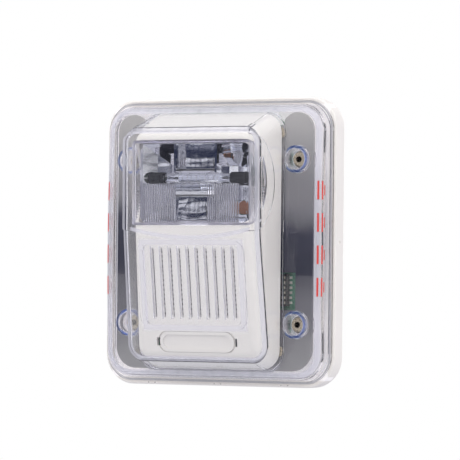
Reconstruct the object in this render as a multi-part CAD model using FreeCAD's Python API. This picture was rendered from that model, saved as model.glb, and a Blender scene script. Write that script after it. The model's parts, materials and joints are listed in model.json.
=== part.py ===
import FreeCAD, Part
import math
import os

from FreeCAD import Vector

# A wall-mounted horn strobe: white mounting box, clear cover with a raised centre, white bezel,
# strobe and horn. Millimetres.
#
# Everything is drawn face up: x to the right, y up the wall, z out from the wall. export() turns
# it upright, so that the wall is the plane Y = 0, +Z is up and the face looks along -Y.

# ------------------------------------------------------------------ driving dimensions

# mounting box
BOX_HALF_W = 65.5
BOX_HALF_H = 73.5
BOX_CORNER_R = 15.7
BOX_DEPTH = 9.4
BOX_WALL = 3.8
BOX_FLOOR = 2.4
BOX_FRONT_EDGE_R = 1.0
BOX_BACK_EDGE_R = 0.6
DIMPLE_R = 0.9
DIMPLE_DEPTH = 0.4
GROOVE_INSET = 1.9
GROOVE_W = 1.2
GROOVE_DEPTH = 1.0

# holes to the wall box: single-gang and double-gang device screws, and the wire entry
DEVICE_SCREW_SPACING = 83.34
GANG_SPACING = 46.04
DEVICE_HOLE_R = 2.25
WIRE_ENTRY_HALF_W = 19.0
WIRE_ENTRY_LOW = -35.0
WIRE_ENTRY_HIGH = -6.0
WIRE_ENTRY_CORNER_R = 3.0

# clear cover
COVER_T = 2.0
COVER_HALF_W = 61.7
COVER_HALF_H = 69.6
COVER_CORNER_R = 13.6
COVER_EDGE_R = 5.0
CROWN_R = 1050.0
CROWN_TOP = 19.9
FLANGE_PROUD = 2.6
FLANGE_T = 1.5
LIP_PROUD = 1.3
LIP_T = 1.4
LUG_HALF_W = 1.8
LUG_PROUD = 0.5
LUG_X = [-38.0, 0.0, 38.0]

# cover screws and the wells that hold them
SCREW_X = 47.3
SCREW_Y = 41.65
WELL_OUTER_R = 7.05
WELL_INNER_R = 5.3
WELL_FLOOR_T = 2.2
WELL_PROUD = 0.7
SCREW_R = 2.0
SCREW_CLEARANCE_R = 2.4
SCREW_HEAD_R = 3.45
SCREW_HEAD_T = 2.8
SCREW_PIN_R = 0.55
SCREW_SOCKET_R = 1.6
SCREW_SOCKET_DEPTH = 1.5
SCREW_TIP_Z = 3.4
WASHER_R = 4.4
WASHER_T = 0.8
BOSS_R = 5.5
INSERT_R = 3.0
INSERT_LENGTH = 6.0
THREAD_CLEARANCE = 0.05

# raised centre of the cover, a hood with sloping sides
HOOD_REF_Z = 16.0
HOOD_HALF_W = 41.9
HOOD_TOP = 66.3
HOOD_BOTTOM = -66.1
HOOD_SIDE_SLOPE = 0.12
HOOD_TOP_SLOPE = 0.37
HOOD_BOTTOM_SLOPE = 0.32
HOOD_CORNER_R = 11.0
HOOD_CORNER_TAPER = 0.13
HOOD_EDGE_R = 3.6
HOOD_BASE_R = 1.6
HOOD_LOW_Z = 12.0
HOOD_HIGH_Z = 48.0
FRONT_CREASE_Y = 3.0
FRONT_CREASE_Z = 42.9
FRONT_UPPER_SLOPE = 0.02
FRONT_LOWER_SLOPE = 0.145
FRONT_CREASE_R = 60.0

# strobe window: a round scoop through the full width of the hood
SCOOP_Y = 29.0
SCOOP_Z = 56.8
SCOOP_R = 26.8
LENS_PROUD = 0.6
LENS_PAD_HALF_W = 33.5
LENS_PAD_LOW = 6.0
LENS_PAD_DIP = 1.7
LENS_T = 1.8
LENS_GAP = 0.2
LENS_EDGE_R = 3.0
LENS_SIDE_GAP = 2.3
RIB_R = 0.6
RIB_SINK = 0.15
RIB_PITCH = 1.27
RIB_FIRST_X = 9.5
RIB_COUNT = 14
RIB_LOW = 8.0
RIB_TOP = 29.0
SIDE_RIB_PITCH = 1.5
SIDE_RIB_COUNT = 13
SIDE_RIB_LOW = 9.0
SIDE_RIB_BACK = 10.0
PRISM_LOW_HALF_W = 9.0
PRISM_HIGH_HALF_W = 7.5
PRISM_LOW = 9.0
PRISM_HIGH = 18.4
PRISM_T = 1.3

# horn grille
GRILLE_HALF_W = 30.3
GRILLE_HALF_H = 22.15
GRILLE_Y = -22.15
GRILLE_CORNER_R = 6.0
GRILLE_PROUD = 0.8
GRILLE_BORDER = 3.4
GRILLE_RECESS = 1.2
SLOT_COUNT = 10
SLOT_PITCH = 5.05
SLOT_W = 1.1
SLOT_HALF_H = 18.3
SLOT_Y = -21.0

# white bezel inside the hood
BEZEL_GAP = 0.3
BEZEL_SIDE_GAP = 1.9
BEZEL_SIDE_TAPER = 0.09
BEZEL_EDGE_R = 5.0
BEZEL_T = 2.0
BEZEL_RIM_Z = 17.0
BEZEL_SLOT_W = 1.8
BEZEL_SLOT_SHORTER = 1.0
BEZEL_LEG_Y = [46.5, 8.0, -46.5]
BEZEL_LEG_HALF_W = 3.0
BEZEL_LEG_T = 2.0
BEZEL_LEG_OVERLAP = 2.0

# blank name plate set into the bezel
PLATE_HALF_W = 22.0
PLATE_HALF_H = 5.3
PLATE_Y = -50.8
PLATE_CORNER_R = 5.0
PLATE_POCKET = 1.0
PLATE_RING_W = 1.6
PLATE_RING_T = 0.7
PLATE_FIT = 0.15
PLATE_SLOT_W = 1.7
PLATE_SLOT_HALF_H = 2.0

# grey chassis plate
CHASSIS_Z = 14.2
CHASSIS_T = 1.2
CHASSIS_HALF_W = 55.7
CHASSIS_LOW = -65.0
CHASSIS_CORNER_R = 11.0
CHASSIS_ARCH_R = 8.8
CHASSIS_ARCH_Y = 56.5
CHASSIS_BRIDGE_TOP = 58.5
CHASSIS_OPENING_HALF_W = 34.5
CHASSIS_OPENING_LOW = -58.5
CHASSIS_OPENING_HIGH = 52.0
CHASSIS_WELL_GAP = 0.1
WINDOW_LEFT = 35.0
WINDOW_RIGHT = 46.5
WINDOW_LOW = -34.2
WINDOW_HIGH = -15.4

# circuit board
BOARD_Z = 8.4
BOARD_T = 1.6
BOARD_HALF_W = 39.6
BOARD_HALF_H = 59.0
BOARD_CORNER_R = 3.0
BOARD_EAR_RIGHT = 45.0
BOARD_EAR_LOW = -34.4
BOARD_EAR_HIGH = -13.0
BOARD_POST_X = 36.6
BOARD_POST_Y = 55.0
BOARD_POST_R = 2.9
BOARD_SCREW_R = 1.3
BOARD_SCREW_HEAD_R = 2.4
BOARD_SCREW_HEAD_T = 1.2
BOARD_SCREW_CROSS_REACH = 1.4
BOARD_SCREW_CROSS_HALF_W = 0.3
BOARD_SCREW_CROSS_DEPTH = 0.6
BOARD_SCREW_TIP_Z = 4.0
ACCESS_HOLE_R = 4.2

# six-way DIP switch
DIP_X = 38.1
DIP_Y = -24.25
DIP_HALF_W = 2.7
DIP_END = 1.0
DIP_T = 3.0
DIP_WAYS = 6
DIP_PITCH = 2.54
DIP_STROKE = 1.5
DIP_WELL_DEPTH = 1.4
SLIDER_LENGTH = 1.6
SLIDER_W = 1.3
SLIDER_T = 2.0
SLIDER_GAP = 0.05
SLIDER_EDGE_R = 0.2
DIP_EDGE_R = 0.25
PAD_REACH = 4.1
PAD_W = 1.3
PAD_T = 0.35

# field terminals, behind the board and facing the wall
TERMINAL_WAYS = 4
TERMINAL_PITCH = 6.6
TERMINAL_Y = -13.5
TERMINAL_HALF_H = 5.5
TERMINAL_BACK_Z = 0.8
TERMINAL_END = 0.6
TERMINAL_WEB_T = 0.7
TERMINAL_CLEARANCE = 0.05
TERMINAL_HEAD_RECESS = 0.1
TERMINAL_FRONT_T = 0.4
TERMINAL_MOUTH_HALF_W = 1.7
CAGE_HALF_W = 2.4
CAGE_HALF_H = 2.7
CAGE_T = 3.0
CAGE_PLATE_T = 0.8
CAGE_WALL_T = 0.7
CAGE_REST_Z = 4.9
CAGE_GAP = 0.05
TERMINAL_HEAD_R = 1.95
TERMINAL_HEAD_T = 1.5
TERMINAL_SHANK_R = 1.2
TERMINAL_SHANK_TIP_Z = 5.35
TERMINAL_SLOT_W = 0.6
TERMINAL_SLOT_DEPTH = 0.8
TERMINAL_PIN_R = 0.45
TERMINAL_PIN_OFFSET = 2.5
TERMINAL_PIN_SINK = 0.35

# flash tube and reflector
TUBE_Y = 32.0
TUBE_Z = 32.0
TUBE_R = 2.3
TUBE_BORE_R = 1.5
TUBE_HALF_L = 24.0
TUBE_ROOM = 0.3
BOOT_FROM_X = 19.0
BOOT_TO_X = 27.6
BOOT_R = 2.9
LEAD_R = 0.4
LEAD_X = 31.9
TRIGGER_TURNS = 5
TRIGGER_WIRE_R = 0.15
REFLECTOR_HALF_W = 31.4
REFLECTOR_LOW = 8.6
REFLECTOR_HIGH = 50.4
REFLECTOR_FRONT_Z = 35.6
REFLECTOR_T = 1.0
REFLECTOR_RIM_T = 1.2
TROUGH_HALF_W = 11.0
TROUGH_Y = 29.5
TROUGH_Z = 19.0
TROUGH_HALF_H = 19.6
WING_BACK_Z = 23.0
WING_BACK_FROM_X = 13.0
WING_BACK_TO_X = 18.0
WING_BACK_HALF_H = 8.5
WING_FRONT_FROM_X = 12.2
WING_FRONT_TO_X = 30.0
REFLECTOR_LEG_R = 1.8
REFLECTOR_LEG_X = 7.0
COIL_X = 25.0
COIL_Y = 17.0
COIL_R = 3.4
COIL_TOP_Z = 30.0
COIL_WINDINGS = 4
COIL_FLANGE_T = 1.0
COIL_FLANGE_PROUD = 0.6
COIL_ROOM = 0.4

# horn
HORN_Y = -22.0
HORN_R = 16.0
HORN_WALL = 1.2
HORN_FLOOR = 1.2
HORN_RIM_Z = 22.0
YOKE_R = 12.5
YOKE_T = 1.4
POLE_R = 3.0
POLE_TOP_Z = 17.6
MAGNET_R = 12.0
MAGNET_BORE_R = 8.6
MAGNET_T = 3.6
VOICE_COIL_R = 7.4
VOICE_COIL_T = 4.4
DIAPHRAGM_R = 14.6
DIAPHRAGM_T = 0.3
DIAPHRAGM_Z = 19.6
ARMATURE_R = 4.5
ARMATURE_T = 1.0
THROAT_R = 12.5
THROAT_T = 1.4
DUCT_HALF_W = 26.0
DUCT_HALF_H = 19.6
DUCT_WALL = 1.2
SCREEN_T = 0.3
SCREEN_BAR_PITCH = 2.4
SCREEN_GAP = 1.2
SCREEN_BORDER = 1.5
SCREEN_DROP = 1.0
SCREEN_FIT = 0.1
DUCT_CORNER_R = 2.0
DUCT_GAP = 0.1
HORN_LEAD_R = 0.5
HORN_LEAD_X = 3.0
HORN_LEAD_REACH = 4.0
HORN_LEAD_RISE = 3.0
HORN_LEAD_GAP = 0.1
VOICE_COIL_GAP = 0.2

# storage capacitor, lying along the board's lower edge
CAPACITOR_R = 5.8
CAPACITOR_HALF_L = 15.0
CAPACITOR_Y = -52.0
CAPACITOR_LIFT = 0.6
CAPACITOR_EDGE_R = 0.8
CAPACITOR_GROOVE_FROM_END = 4.0
CAPACITOR_GROOVE_W = 1.0
CAPACITOR_GROOVE_DEPTH = 0.5
SADDLE_LEFT = -12.0
SADDLE_RIGHT = 9.0
SADDLE_HALF_H = 2.0

# inductor and controller chip
INDUCTOR_X = -20.0
INDUCTOR_Y = 27.0
INDUCTOR_R = 5.0
INDUCTOR_T = 6.0
INDUCTOR_FLANGE_T = 1.0
INDUCTOR_WAIST_DEPTH = 1.2
CHIP_X = 16.0
CHIP_Y = 26.0
CHIP_HALF_W = 2.0
CHIP_HALF_H = 2.5
CHIP_LIFT = 0.1
CHIP_T = 1.6
CHIP_PIN_COUNT = 4
CHIP_PIN_PITCH = 1.27
CHIP_PIN_REACH = 3.0
CHIP_PIN_HALF_W = 0.2
CHIP_PIN_T = 0.8

# small parts on the board: a column of resistors, a row of diodes, two upright capacitors
RESISTOR_COUNT = 6
RESISTOR_PITCH = 4.0
RESISTOR_X = 31.6
RESISTOR_TOP_Y = 38.0
RESISTOR_SIZE = [3.2, 1.6, 0.6]
DIODE_COUNT = 3
DIODE_PITCH = 6.0
DIODE_LEFT_X = -30.0
DIODE_Y = 14.3
DIODE_SIZE = [4.4, 2.6, 2.1]
SMALL_CAPACITOR_X = -28.0
SMALL_CAPACITOR_Y = [38.0, 46.0]
SMALL_CAPACITOR_R = 2.5
SMALL_CAPACITOR_T = 5.0


# ------------------------------------------------------------------ drawing helpers

def export(name, solids):
    """Turn a face-up shape upright and write it as one STEP file."""
    if not isinstance(solids, list):
        solids = [solids]
    shape = Part.makeCompound(solids) if len(solids) > 1 else solids[0]
    upright = shape.copy()
    upright.rotate(Vector(0, 0, 0), Vector(1, 0, 0), 90)
    upright.exportStep(f"parts/{name}.step")


def block(x0, x1, y0, y1, z0, z1):
    return Part.makeBox(x1 - x0, y1 - y0, z1 - z0, Vector(x0, y0, z0))


def rod(x, y, radius, z0, z1):
    return Part.makeCylinder(radius, z1 - z0, Vector(x, y, z0), Vector(0, 0, 1))


def ring(x, y, outer_r, inner_r, z0, z1):
    return rod(x, y, outer_r, z0, z1).cut(rod(x, y, inner_r, z0 - 1, z1 + 1))


def cross_rod(y, z, radius, x0, x1):
    return Part.makeCylinder(radius, x1 - x0, Vector(x0, y, z), Vector(1, 0, 0))


def rounded_wire(half_w, half_h, radius, z, centre_x=0.0, centre_y=0.0):
    """A closed rectangle with arc corners, at height z."""
    corners = [(1, 1, 0), (-1, 1, 90), (-1, -1, 180), (1, -1, 270)]
    arcs = []
    for sign_x, sign_y, start in corners:
        middle = Vector(centre_x + sign_x * (half_w - radius), centre_y + sign_y * (half_h - radius), z)
        circle = Part.Circle(middle, Vector(0, 0, 1), radius)
        arcs.append(Part.Arc(circle, math.radians(start), math.radians(start + 90)).toShape())
    edges = []
    for index, arc in enumerate(arcs):
        following = arcs[(index + 1) % len(arcs)]
        edges.append(arc)
        edges.append(Part.makeLine(arc.Vertexes[-1].Point, following.Vertexes[0].Point))
    return Part.Wire(edges)


def slab(half_w, half_h, radius, z0, z1, centre_x=0.0, centre_y=0.0):
    face = Part.Face(rounded_wire(half_w, half_h, radius, z0, centre_x, centre_y))
    return face.extrude(Vector(0, 0, z1 - z0))


def prism(points, direction):
    """Extrude a closed polygon of Vectors."""
    return Part.Face(Part.makePolygon(points + [points[0]])).extrude(direction)


def fuse_all(solids):
    return solids[0].multiFuse(solids[1:]).removeSplitter()


def four_corners(x, y):
    return [(sx * x, sy * y) for sx in (-1, 1) for sy in (-1, 1)]


def forward_rim(solid):
    """The edges between a face that looks forward and a steeper one."""
    rim = []
    for edge in solid.Edges:
        faces = solid.ancestorsOfType(edge, Part.Face)
        leanings = []
        for face in faces:
            u0, u1, v0, v1 = face.ParameterRange
            leanings.append(face.normalAt((u0 + u1) / 2, (v0 + v1) / 2).z)
        if len(faces) == 2 and max(leanings) > 0.9 and min(leanings) < 0.6:
            rim.append(edge)
    return rim


def hollow_corner(solid, low_x, low_y):
    """The edges where a steep wall rises out of a face that looks forward, inside +-low_x, +-low_y."""
    found = []
    for edge in solid.Edges:
        faces = solid.ancestorsOfType(edge, Part.Face)
        start, end = edge.ParameterRange
        middle = edge.valueAt((start + end) / 2)
        leanings = sorted(face.normalAt(*face.Surface.parameter(middle)).z for face in faces)
        rises = len(faces) == 2 and leanings[1] > 0.9 and 0 < leanings[0] < 0.6
        if rises and abs(middle.x) < low_x and abs(middle.y) < low_y and middle.z < CROWN_TOP + 1:
            found.append(edge)
    return found


# ------------------------------------------------------------------ shared outer forms

def pan(inset, low_z):
    """The cover's shallow body: rounded rectangle, crowned up and down, soft front edge."""
    body = slab(COVER_HALF_W - inset, COVER_HALF_H - inset, COVER_CORNER_R - inset, low_z, CROWN_TOP + 5)
    crown = cross_rod(0, CROWN_TOP - CROWN_R, CROWN_R - inset, -BOX_HALF_W * 2, BOX_HALF_W * 2)
    body = body.common(crown)
    return body.makeFillet(COVER_EDGE_R - inset, forward_rim(body))


def leaning(inset, slope):
    """How far a sloping face shifts sideways when it moves in by inset."""
    return inset * math.sqrt(1 + slope ** 2)


def side_x(z, inset):
    """Half width of the hood at height z, with its side moved in by inset."""
    return HOOD_HALF_W - HOOD_SIDE_SLOPE * (z - HOOD_REF_Z) - leaning(inset, HOOD_SIDE_SLOPE)


def hood_section(z, inset, side_gap):
    rise = z - HOOD_REF_Z
    half_w = side_x(z, inset + side_gap)
    top = HOOD_TOP - HOOD_TOP_SLOPE * rise - leaning(inset, HOOD_TOP_SLOPE)
    bottom = HOOD_BOTTOM + HOOD_BOTTOM_SLOPE * rise + leaning(inset, HOOD_BOTTOM_SLOPE)
    radius = HOOD_CORNER_R - HOOD_CORNER_TAPER * rise - inset
    return rounded_wire(half_w, (top - bottom) / 2, radius, z, 0, (top + bottom) / 2)


def hood_front(inset):
    """The space behind the hood's front: a steep upper plane, a leaning lower one, an arc between."""
    reach = BOX_HALF_H + 5
    upper_z = FRONT_CREASE_Z - leaning(inset, FRONT_UPPER_SLOPE)
    lower_z = FRONT_CREASE_Z - leaning(inset, FRONT_LOWER_SLOPE)
    crease = (upper_z - lower_z) / (FRONT_LOWER_SLOPE - FRONT_UPPER_SLOPE)
    crease_y = FRONT_CREASE_Y + crease
    crease_z = upper_z + FRONT_UPPER_SLOPE * crease
    upper_angle = math.atan(FRONT_UPPER_SLOPE)
    lower_angle = math.atan(FRONT_LOWER_SLOPE)
    half_turn = (lower_angle - upper_angle) / 2
    tangent = FRONT_CREASE_R * math.tan(half_turn)
    sagitta = FRONT_CREASE_R * (1 / math.cos(half_turn) - 1)
    middle_angle = (lower_angle + upper_angle) / 2

    def at(y, z):
        return Vector(-BOX_HALF_W, y, z)

    def on_line(distance, angle):
        return at(crease_y + distance * math.cos(angle), crease_z + distance * math.sin(angle))

    top = on_line(reach / math.cos(upper_angle), upper_angle)
    arc_top = on_line(tangent, upper_angle)
    arc_low = on_line(-tangent, lower_angle)
    bottom = on_line(-reach / math.cos(lower_angle), lower_angle)
    arc_mid = at(crease_y + sagitta * math.sin(middle_angle), crease_z - sagitta * math.cos(middle_angle))
    back_low = at(bottom.y, 0)
    back_top = at(top.y, 0)
    edges = [
        Part.makeLine(top, arc_top),
        Part.Arc(arc_top, arc_mid, arc_low).toShape(),
        Part.makeLine(arc_low, bottom),
        Part.makeLine(bottom, back_low),
        Part.makeLine(back_low, back_top),
        Part.makeLine(back_top, top),
    ]
    return Part.Face(Part.Wire(edges)).extrude(Vector(2 * BOX_HALF_W, 0, 0))


def hood(inset, edge_r, side_gap=0.0, side_taper=0.0):
    """The raised centre with every face moved in by inset.

    The sides move in by side_gap more, and lean in by side_taper more.
    """
    sections = [hood_section(z, inset, side_gap + side_taper * (z - HOOD_REF_Z))
                for z in (HOOD_LOW_Z, HOOD_HIGH_Z)]
    body = Part.makeLoft(sections, True, True).common(hood_front(inset))
    return body.makeFillet(edge_r, forward_rim(body))


def cover_hood(inset):
    return hood(inset, HOOD_EDGE_R - inset)


def bezel_form(depth):
    """The bezel's outer form, or its inside when depth is the wall thickness."""
    return hood(COVER_T + BEZEL_GAP + depth, BEZEL_EDGE_R - depth, BEZEL_SIDE_GAP, BEZEL_SIDE_TAPER)


def lens_form(depth):
    return hood(COVER_T + BEZEL_GAP + depth, LENS_EDGE_R - depth, LENS_SIDE_GAP)


def bezel_front(depth):
    """The space behind the bezel's front, depth below its surface."""
    return hood_front(COVER_T + BEZEL_GAP + depth)


def scoop(radius):
    """The round cut across the hood that the strobe looks out of."""
    return cross_rod(SCOOP_Y, SCOOP_Z, radius, -BOX_HALF_W, BOX_HALF_W)


def lens_outline():
    """Front outline of the strobe window, with a bottom edge that dips in the middle."""
    top = HOOD_TOP
    left_top = Vector(-LENS_PAD_HALF_W, top, 0)
    right_top = Vector(LENS_PAD_HALF_W, top, 0)
    right_low = Vector(LENS_PAD_HALF_W, LENS_PAD_LOW, 0)
    left_low = Vector(-LENS_PAD_HALF_W, LENS_PAD_LOW, 0)
    edges = [
        Part.makeLine(left_low, left_top),
        Part.makeLine(left_top, right_top),
        Part.makeLine(right_top, right_low),
        Part.Arc(right_low, Vector(0, LENS_PAD_DIP, 0), left_low).toShape(),
    ]
    return Part.Face(Part.Wire(edges))


def grille_slots(width, half_h):
    first = -SLOT_PITCH * (SLOT_COUNT - 1) / 2
    slots = []
    for index in range(SLOT_COUNT):
        x = first + index * SLOT_PITCH
        slots.append(block(x - width / 2, x + width / 2, SLOT_Y - half_h, SLOT_Y + half_h, HOOD_REF_Z, HOOD_HIGH_Z))
    return slots


# ------------------------------------------------------------------ housing

def make_back_box():
    body = slab(BOX_HALF_W, BOX_HALF_H, BOX_CORNER_R, 0, BOX_DEPTH)
    body = body.makeFillet(BOX_FRONT_EDGE_R, forward_rim(body))
    back_edges = [edge for edge in body.Edges if edge.BoundBox.ZMax < 0.001]
    body = body.makeFillet(BOX_BACK_EDGE_R, back_edges)
    inner_r = BOX_CORNER_R - BOX_WALL
    body = body.cut(slab(BOX_HALF_W - BOX_WALL, BOX_HALF_H - BOX_WALL, inner_r, BOX_FLOOR, BOX_DEPTH + 1))

    additions = []
    holes = []
    for x, y in four_corners(SCREW_X, SCREW_Y):
        additions.append(rod(x, y, BOSS_R, BOX_FLOOR, BOX_DEPTH))
        holes.append(rod(x, y, INSERT_R, BOX_DEPTH - INSERT_LENGTH, BOX_DEPTH + 1))
    for x, y in four_corners(BOARD_POST_X, BOARD_POST_Y):
        additions.append(rod(x, y, BOARD_POST_R, BOX_FLOOR, BOARD_Z))
        holes.append(rod(x, y, BOARD_SCREW_R, BOARD_SCREW_TIP_Z, BOARD_Z + 1))
    body = fuse_all([body] + additions)

    for x, y in device_hole_places():
        holes.append(rod(x, y, DEVICE_HOLE_R, -1, BOX_FLOOR + 1))
    entry_half_h = (WIRE_ENTRY_HIGH - WIRE_ENTRY_LOW) / 2
    entry_y = (WIRE_ENTRY_HIGH + WIRE_ENTRY_LOW) / 2
    holes.append(slab(WIRE_ENTRY_HALF_W, entry_half_h, WIRE_ENTRY_CORNER_R, -1, BOX_FLOOR + 1, 0, entry_y))
    for side in (-1, 1):
        start = side * (BOX_HALF_W - DIMPLE_DEPTH)
        holes.append(Part.makeCylinder(DIMPLE_R, 1, Vector(start, 0, BOX_DEPTH / 2), Vector(side, 0, 0)))
    holes.append(groove_ring(0))
    return body.cut(holes)


def groove_ring(slack):
    """The rubber's groove round the rim; slack trims the rubber that fills it."""
    inset = GROOVE_INSET
    low_z = BOX_DEPTH - GROOVE_DEPTH + slack
    outer = slab(BOX_HALF_W - inset, BOX_HALF_H - inset, BOX_CORNER_R - inset, low_z, BOX_DEPTH)
    inset = GROOVE_INSET + GROOVE_W
    inner = slab(BOX_HALF_W - inset, BOX_HALF_H - inset, BOX_CORNER_R - inset, low_z - 1, BOX_DEPTH + 1)
    return outer.cut(inner)


def device_hole_places():
    half = DEVICE_SCREW_SPACING / 2
    return [(0, half), (0, -half)] + four_corners(GANG_SPACING / 2, half)


def well_mouth_z():
    drop = CROWN_R - math.sqrt(CROWN_R ** 2 - SCREW_Y ** 2)
    return CROWN_TOP - drop + WELL_PROUD


def make_clear_cover():
    flange = slab(COVER_HALF_W + FLANGE_PROUD, COVER_HALF_H + FLANGE_PROUD, COVER_CORNER_R + FLANGE_PROUD,
                  BOX_DEPTH, BOX_DEPTH + FLANGE_T)
    lip = slab(COVER_HALF_W + LIP_PROUD, COVER_HALF_H + LIP_PROUD, COVER_CORNER_R + LIP_PROUD,
               BOX_DEPTH, BOX_DEPTH + FLANGE_T + LIP_T)
    shell = pan(0, BOX_DEPTH).fuse(cover_hood(0)).removeSplitter()
    shell = shell.makeFillet(HOOD_BASE_R, hollow_corner(shell, HOOD_HALF_W + 1, HOOD_TOP + 1))
    outer = [shell, flange, lip]
    for x in LUG_X:
        edge_y = -(COVER_HALF_H + FLANGE_PROUD)
        outer.append(block(x - LUG_HALF_W, x + LUG_HALF_W, edge_y - LUG_PROUD, edge_y + 1,
                           BOX_DEPTH, BOX_DEPTH + FLANGE_T))

    lens_skin = cover_hood(-LENS_PROUD)
    lens_pad = lens_outline().extrude(Vector(0, 0, HOOD_HIGH_Z)).common(lens_skin)
    front_half = block(-BOX_HALF_W, BOX_HALF_W, -BOX_HALF_H, BOX_HALF_H, FRONT_CREASE_Z - 6, HOOD_HIGH_Z)
    outer.append(lens_pad.common(front_half))
    outer.append(scoop(SCOOP_R + LENS_PROUD).common(lens_skin))
    grille_pad = slab(GRILLE_HALF_W, GRILLE_HALF_H, GRILLE_CORNER_R, HOOD_REF_Z, HOOD_HIGH_Z, 0, GRILLE_Y)
    outer.append(grille_pad.common(cover_hood(-GRILLE_PROUD)))
    body = fuse_all(outer)

    recess = slab(GRILLE_HALF_W - GRILLE_BORDER, GRILLE_HALF_H - GRILLE_BORDER / 1.5,
                  GRILLE_CORNER_R - GRILLE_BORDER, HOOD_REF_Z, HOOD_HIGH_Z, 0, GRILLE_Y)
    body = body.cut(recess.cut(hood_front(GRILLE_RECESS - GRILLE_PROUD)))
    body = body.cut(pan(COVER_T, BOX_DEPTH - 1).fuse(cover_hood(COVER_T)))

    mouth = well_mouth_z()
    wells = [rod(x, y, WELL_OUTER_R, BOX_DEPTH, mouth) for x, y in four_corners(SCREW_X, SCREW_Y)]
    body = fuse_all([body] + wells)
    holes = grille_slots(SLOT_W, SLOT_HALF_H)
    for x, y in four_corners(SCREW_X, SCREW_Y):
        holes.append(rod(x, y, WELL_INNER_R, BOX_DEPTH + WELL_FLOOR_T, mouth + 1))
        holes.append(rod(x, y, SCREW_CLEARANCE_R, BOX_DEPTH - 1, mouth))
    return body.cut(holes)


def make_cover_screws():
    head_z = BOX_DEPTH + WELL_FLOOR_T + WASHER_T
    screws = []
    for x, y in four_corners(SCREW_X, SCREW_Y):
        head = rod(x, y, SCREW_HEAD_R, head_z, head_z + SCREW_HEAD_T)
        head = head.makeFillet(0.7, [edge for edge in head.Edges if edge.BoundBox.ZMin > head_z + 1])
        top = head_z + SCREW_HEAD_T
        socket = star_prism(x, y, SCREW_SOCKET_R, top - SCREW_SOCKET_DEPTH, top + 1)
        pin = rod(x, y, SCREW_PIN_R, top - SCREW_SOCKET_DEPTH, top - 0.2)
        shank = rod(x, y, SCREW_R, SCREW_TIP_Z, head_z)
        screws.append(head.cut(socket).fuse([pin, shank]).removeSplitter())
    return screws


def star_prism(x, y, radius, z0, z1):
    """The six-lobed socket of a tamper-proof screw."""
    core = rod(x, y, radius * 0.74, z0, z1)
    lobes = []
    for index in range(6):
        angle = math.radians(60 * index)
        reach = radius * 0.7
        lobes.append(rod(x + reach * math.cos(angle), y + reach * math.sin(angle), radius * 0.3, z0, z1))
    return core.multiFuse(lobes)


def make_cover_washers():
    low = BOX_DEPTH + WELL_FLOOR_T
    return [ring(x, y, WASHER_R, SCREW_CLEARANCE_R, low, low + WASHER_T) for x, y in four_corners(SCREW_X, SCREW_Y)]


def make_thread_inserts():
    low = BOX_DEPTH - INSERT_LENGTH
    bore = SCREW_R + THREAD_CLEARANCE
    return [ring(x, y, INSERT_R, bore, low, BOX_DEPTH) for x, y in four_corners(SCREW_X, SCREW_Y)]


# ------------------------------------------------------------------ bezel, name plate, lens

def make_bezel():
    below = block(-BOX_HALF_W, BOX_HALF_W, -BOX_HALF_H, BOX_HALF_H, 0, BEZEL_RIM_Z)
    body = bezel_form(0).cut(bezel_form(BEZEL_T)).cut([below, scoop(SCOOP_R)])
    wall_x = side_x(BEZEL_RIM_Z, COVER_T + BEZEL_GAP + BEZEL_SIDE_GAP + BEZEL_T)
    legs = []
    for y in BEZEL_LEG_Y:
        for side in (-1, 1):
            near = side * (wall_x + BEZEL_LEG_T / 2)
            far = side * (wall_x - BEZEL_LEG_T / 2)
            legs.append(block(min(near, far), max(near, far), y - BEZEL_LEG_HALF_W, y + BEZEL_LEG_HALF_W,
                              CHASSIS_Z + CHASSIS_T, BEZEL_RIM_Z + BEZEL_LEG_OVERLAP))
    body = fuse_all([body] + legs)
    pocket = slab(PLATE_HALF_W, PLATE_HALF_H, PLATE_CORNER_R, HOOD_REF_Z, HOOD_HIGH_Z, 0, PLATE_Y)
    pocket = pocket.cut(bezel_front(PLATE_POCKET))
    holes = grille_slots(BEZEL_SLOT_W, SLOT_HALF_H - BEZEL_SLOT_SHORTER)
    for side in (-1, 1):
        x = side * PLATE_HALF_W
        holes.append(block(x - PLATE_SLOT_W / 2, x + PLATE_SLOT_W / 2, PLATE_Y - PLATE_SLOT_HALF_H,
                           PLATE_Y + PLATE_SLOT_HALF_H, HOOD_REF_Z, HOOD_HIGH_Z))
    return body.cut([pocket] + holes)


def make_name_plate():
    """A blank plate with a raised ring round its edge."""
    half_w = PLATE_HALF_W - PLATE_SLOT_W / 2 - PLATE_FIT
    half_h = PLATE_HALF_H - PLATE_FIT
    outline = slab(half_w, half_h, PLATE_CORNER_R, HOOD_REF_Z, HOOD_HIGH_Z, 0, PLATE_Y)
    field = slab(half_w - PLATE_RING_W, half_h - PLATE_RING_W, PLATE_CORNER_R - PLATE_RING_W,
                 HOOD_REF_Z, HOOD_HIGH_Z, 0, PLATE_Y)
    plate = outline.common(bezel_form(0)).cut(bezel_front(PLATE_POCKET))
    return plate.cut(field.cut(bezel_front(PLATE_RING_T)))


def lens_front_ribs():
    """Upright half-round ribs behind the lens front, left and right of the middle."""
    inset = COVER_T + BEZEL_GAP + LENS_T
    z = FRONT_CREASE_Z - leaning(inset, FRONT_UPPER_SLOPE) - RIB_SINK
    z += FRONT_UPPER_SLOPE * (RIB_LOW - FRONT_CREASE_Y)
    ribs = []
    for index in range(RIB_COUNT):
        for side in (-1, 1):
            base = Vector(side * (RIB_FIRST_X + index * RIB_PITCH), RIB_LOW, z)
            ribs.append(Part.makeCylinder(RIB_R, RIB_TOP - RIB_LOW, base, Vector(0, 1, FRONT_UPPER_SLOPE)))
    return ribs


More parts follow.
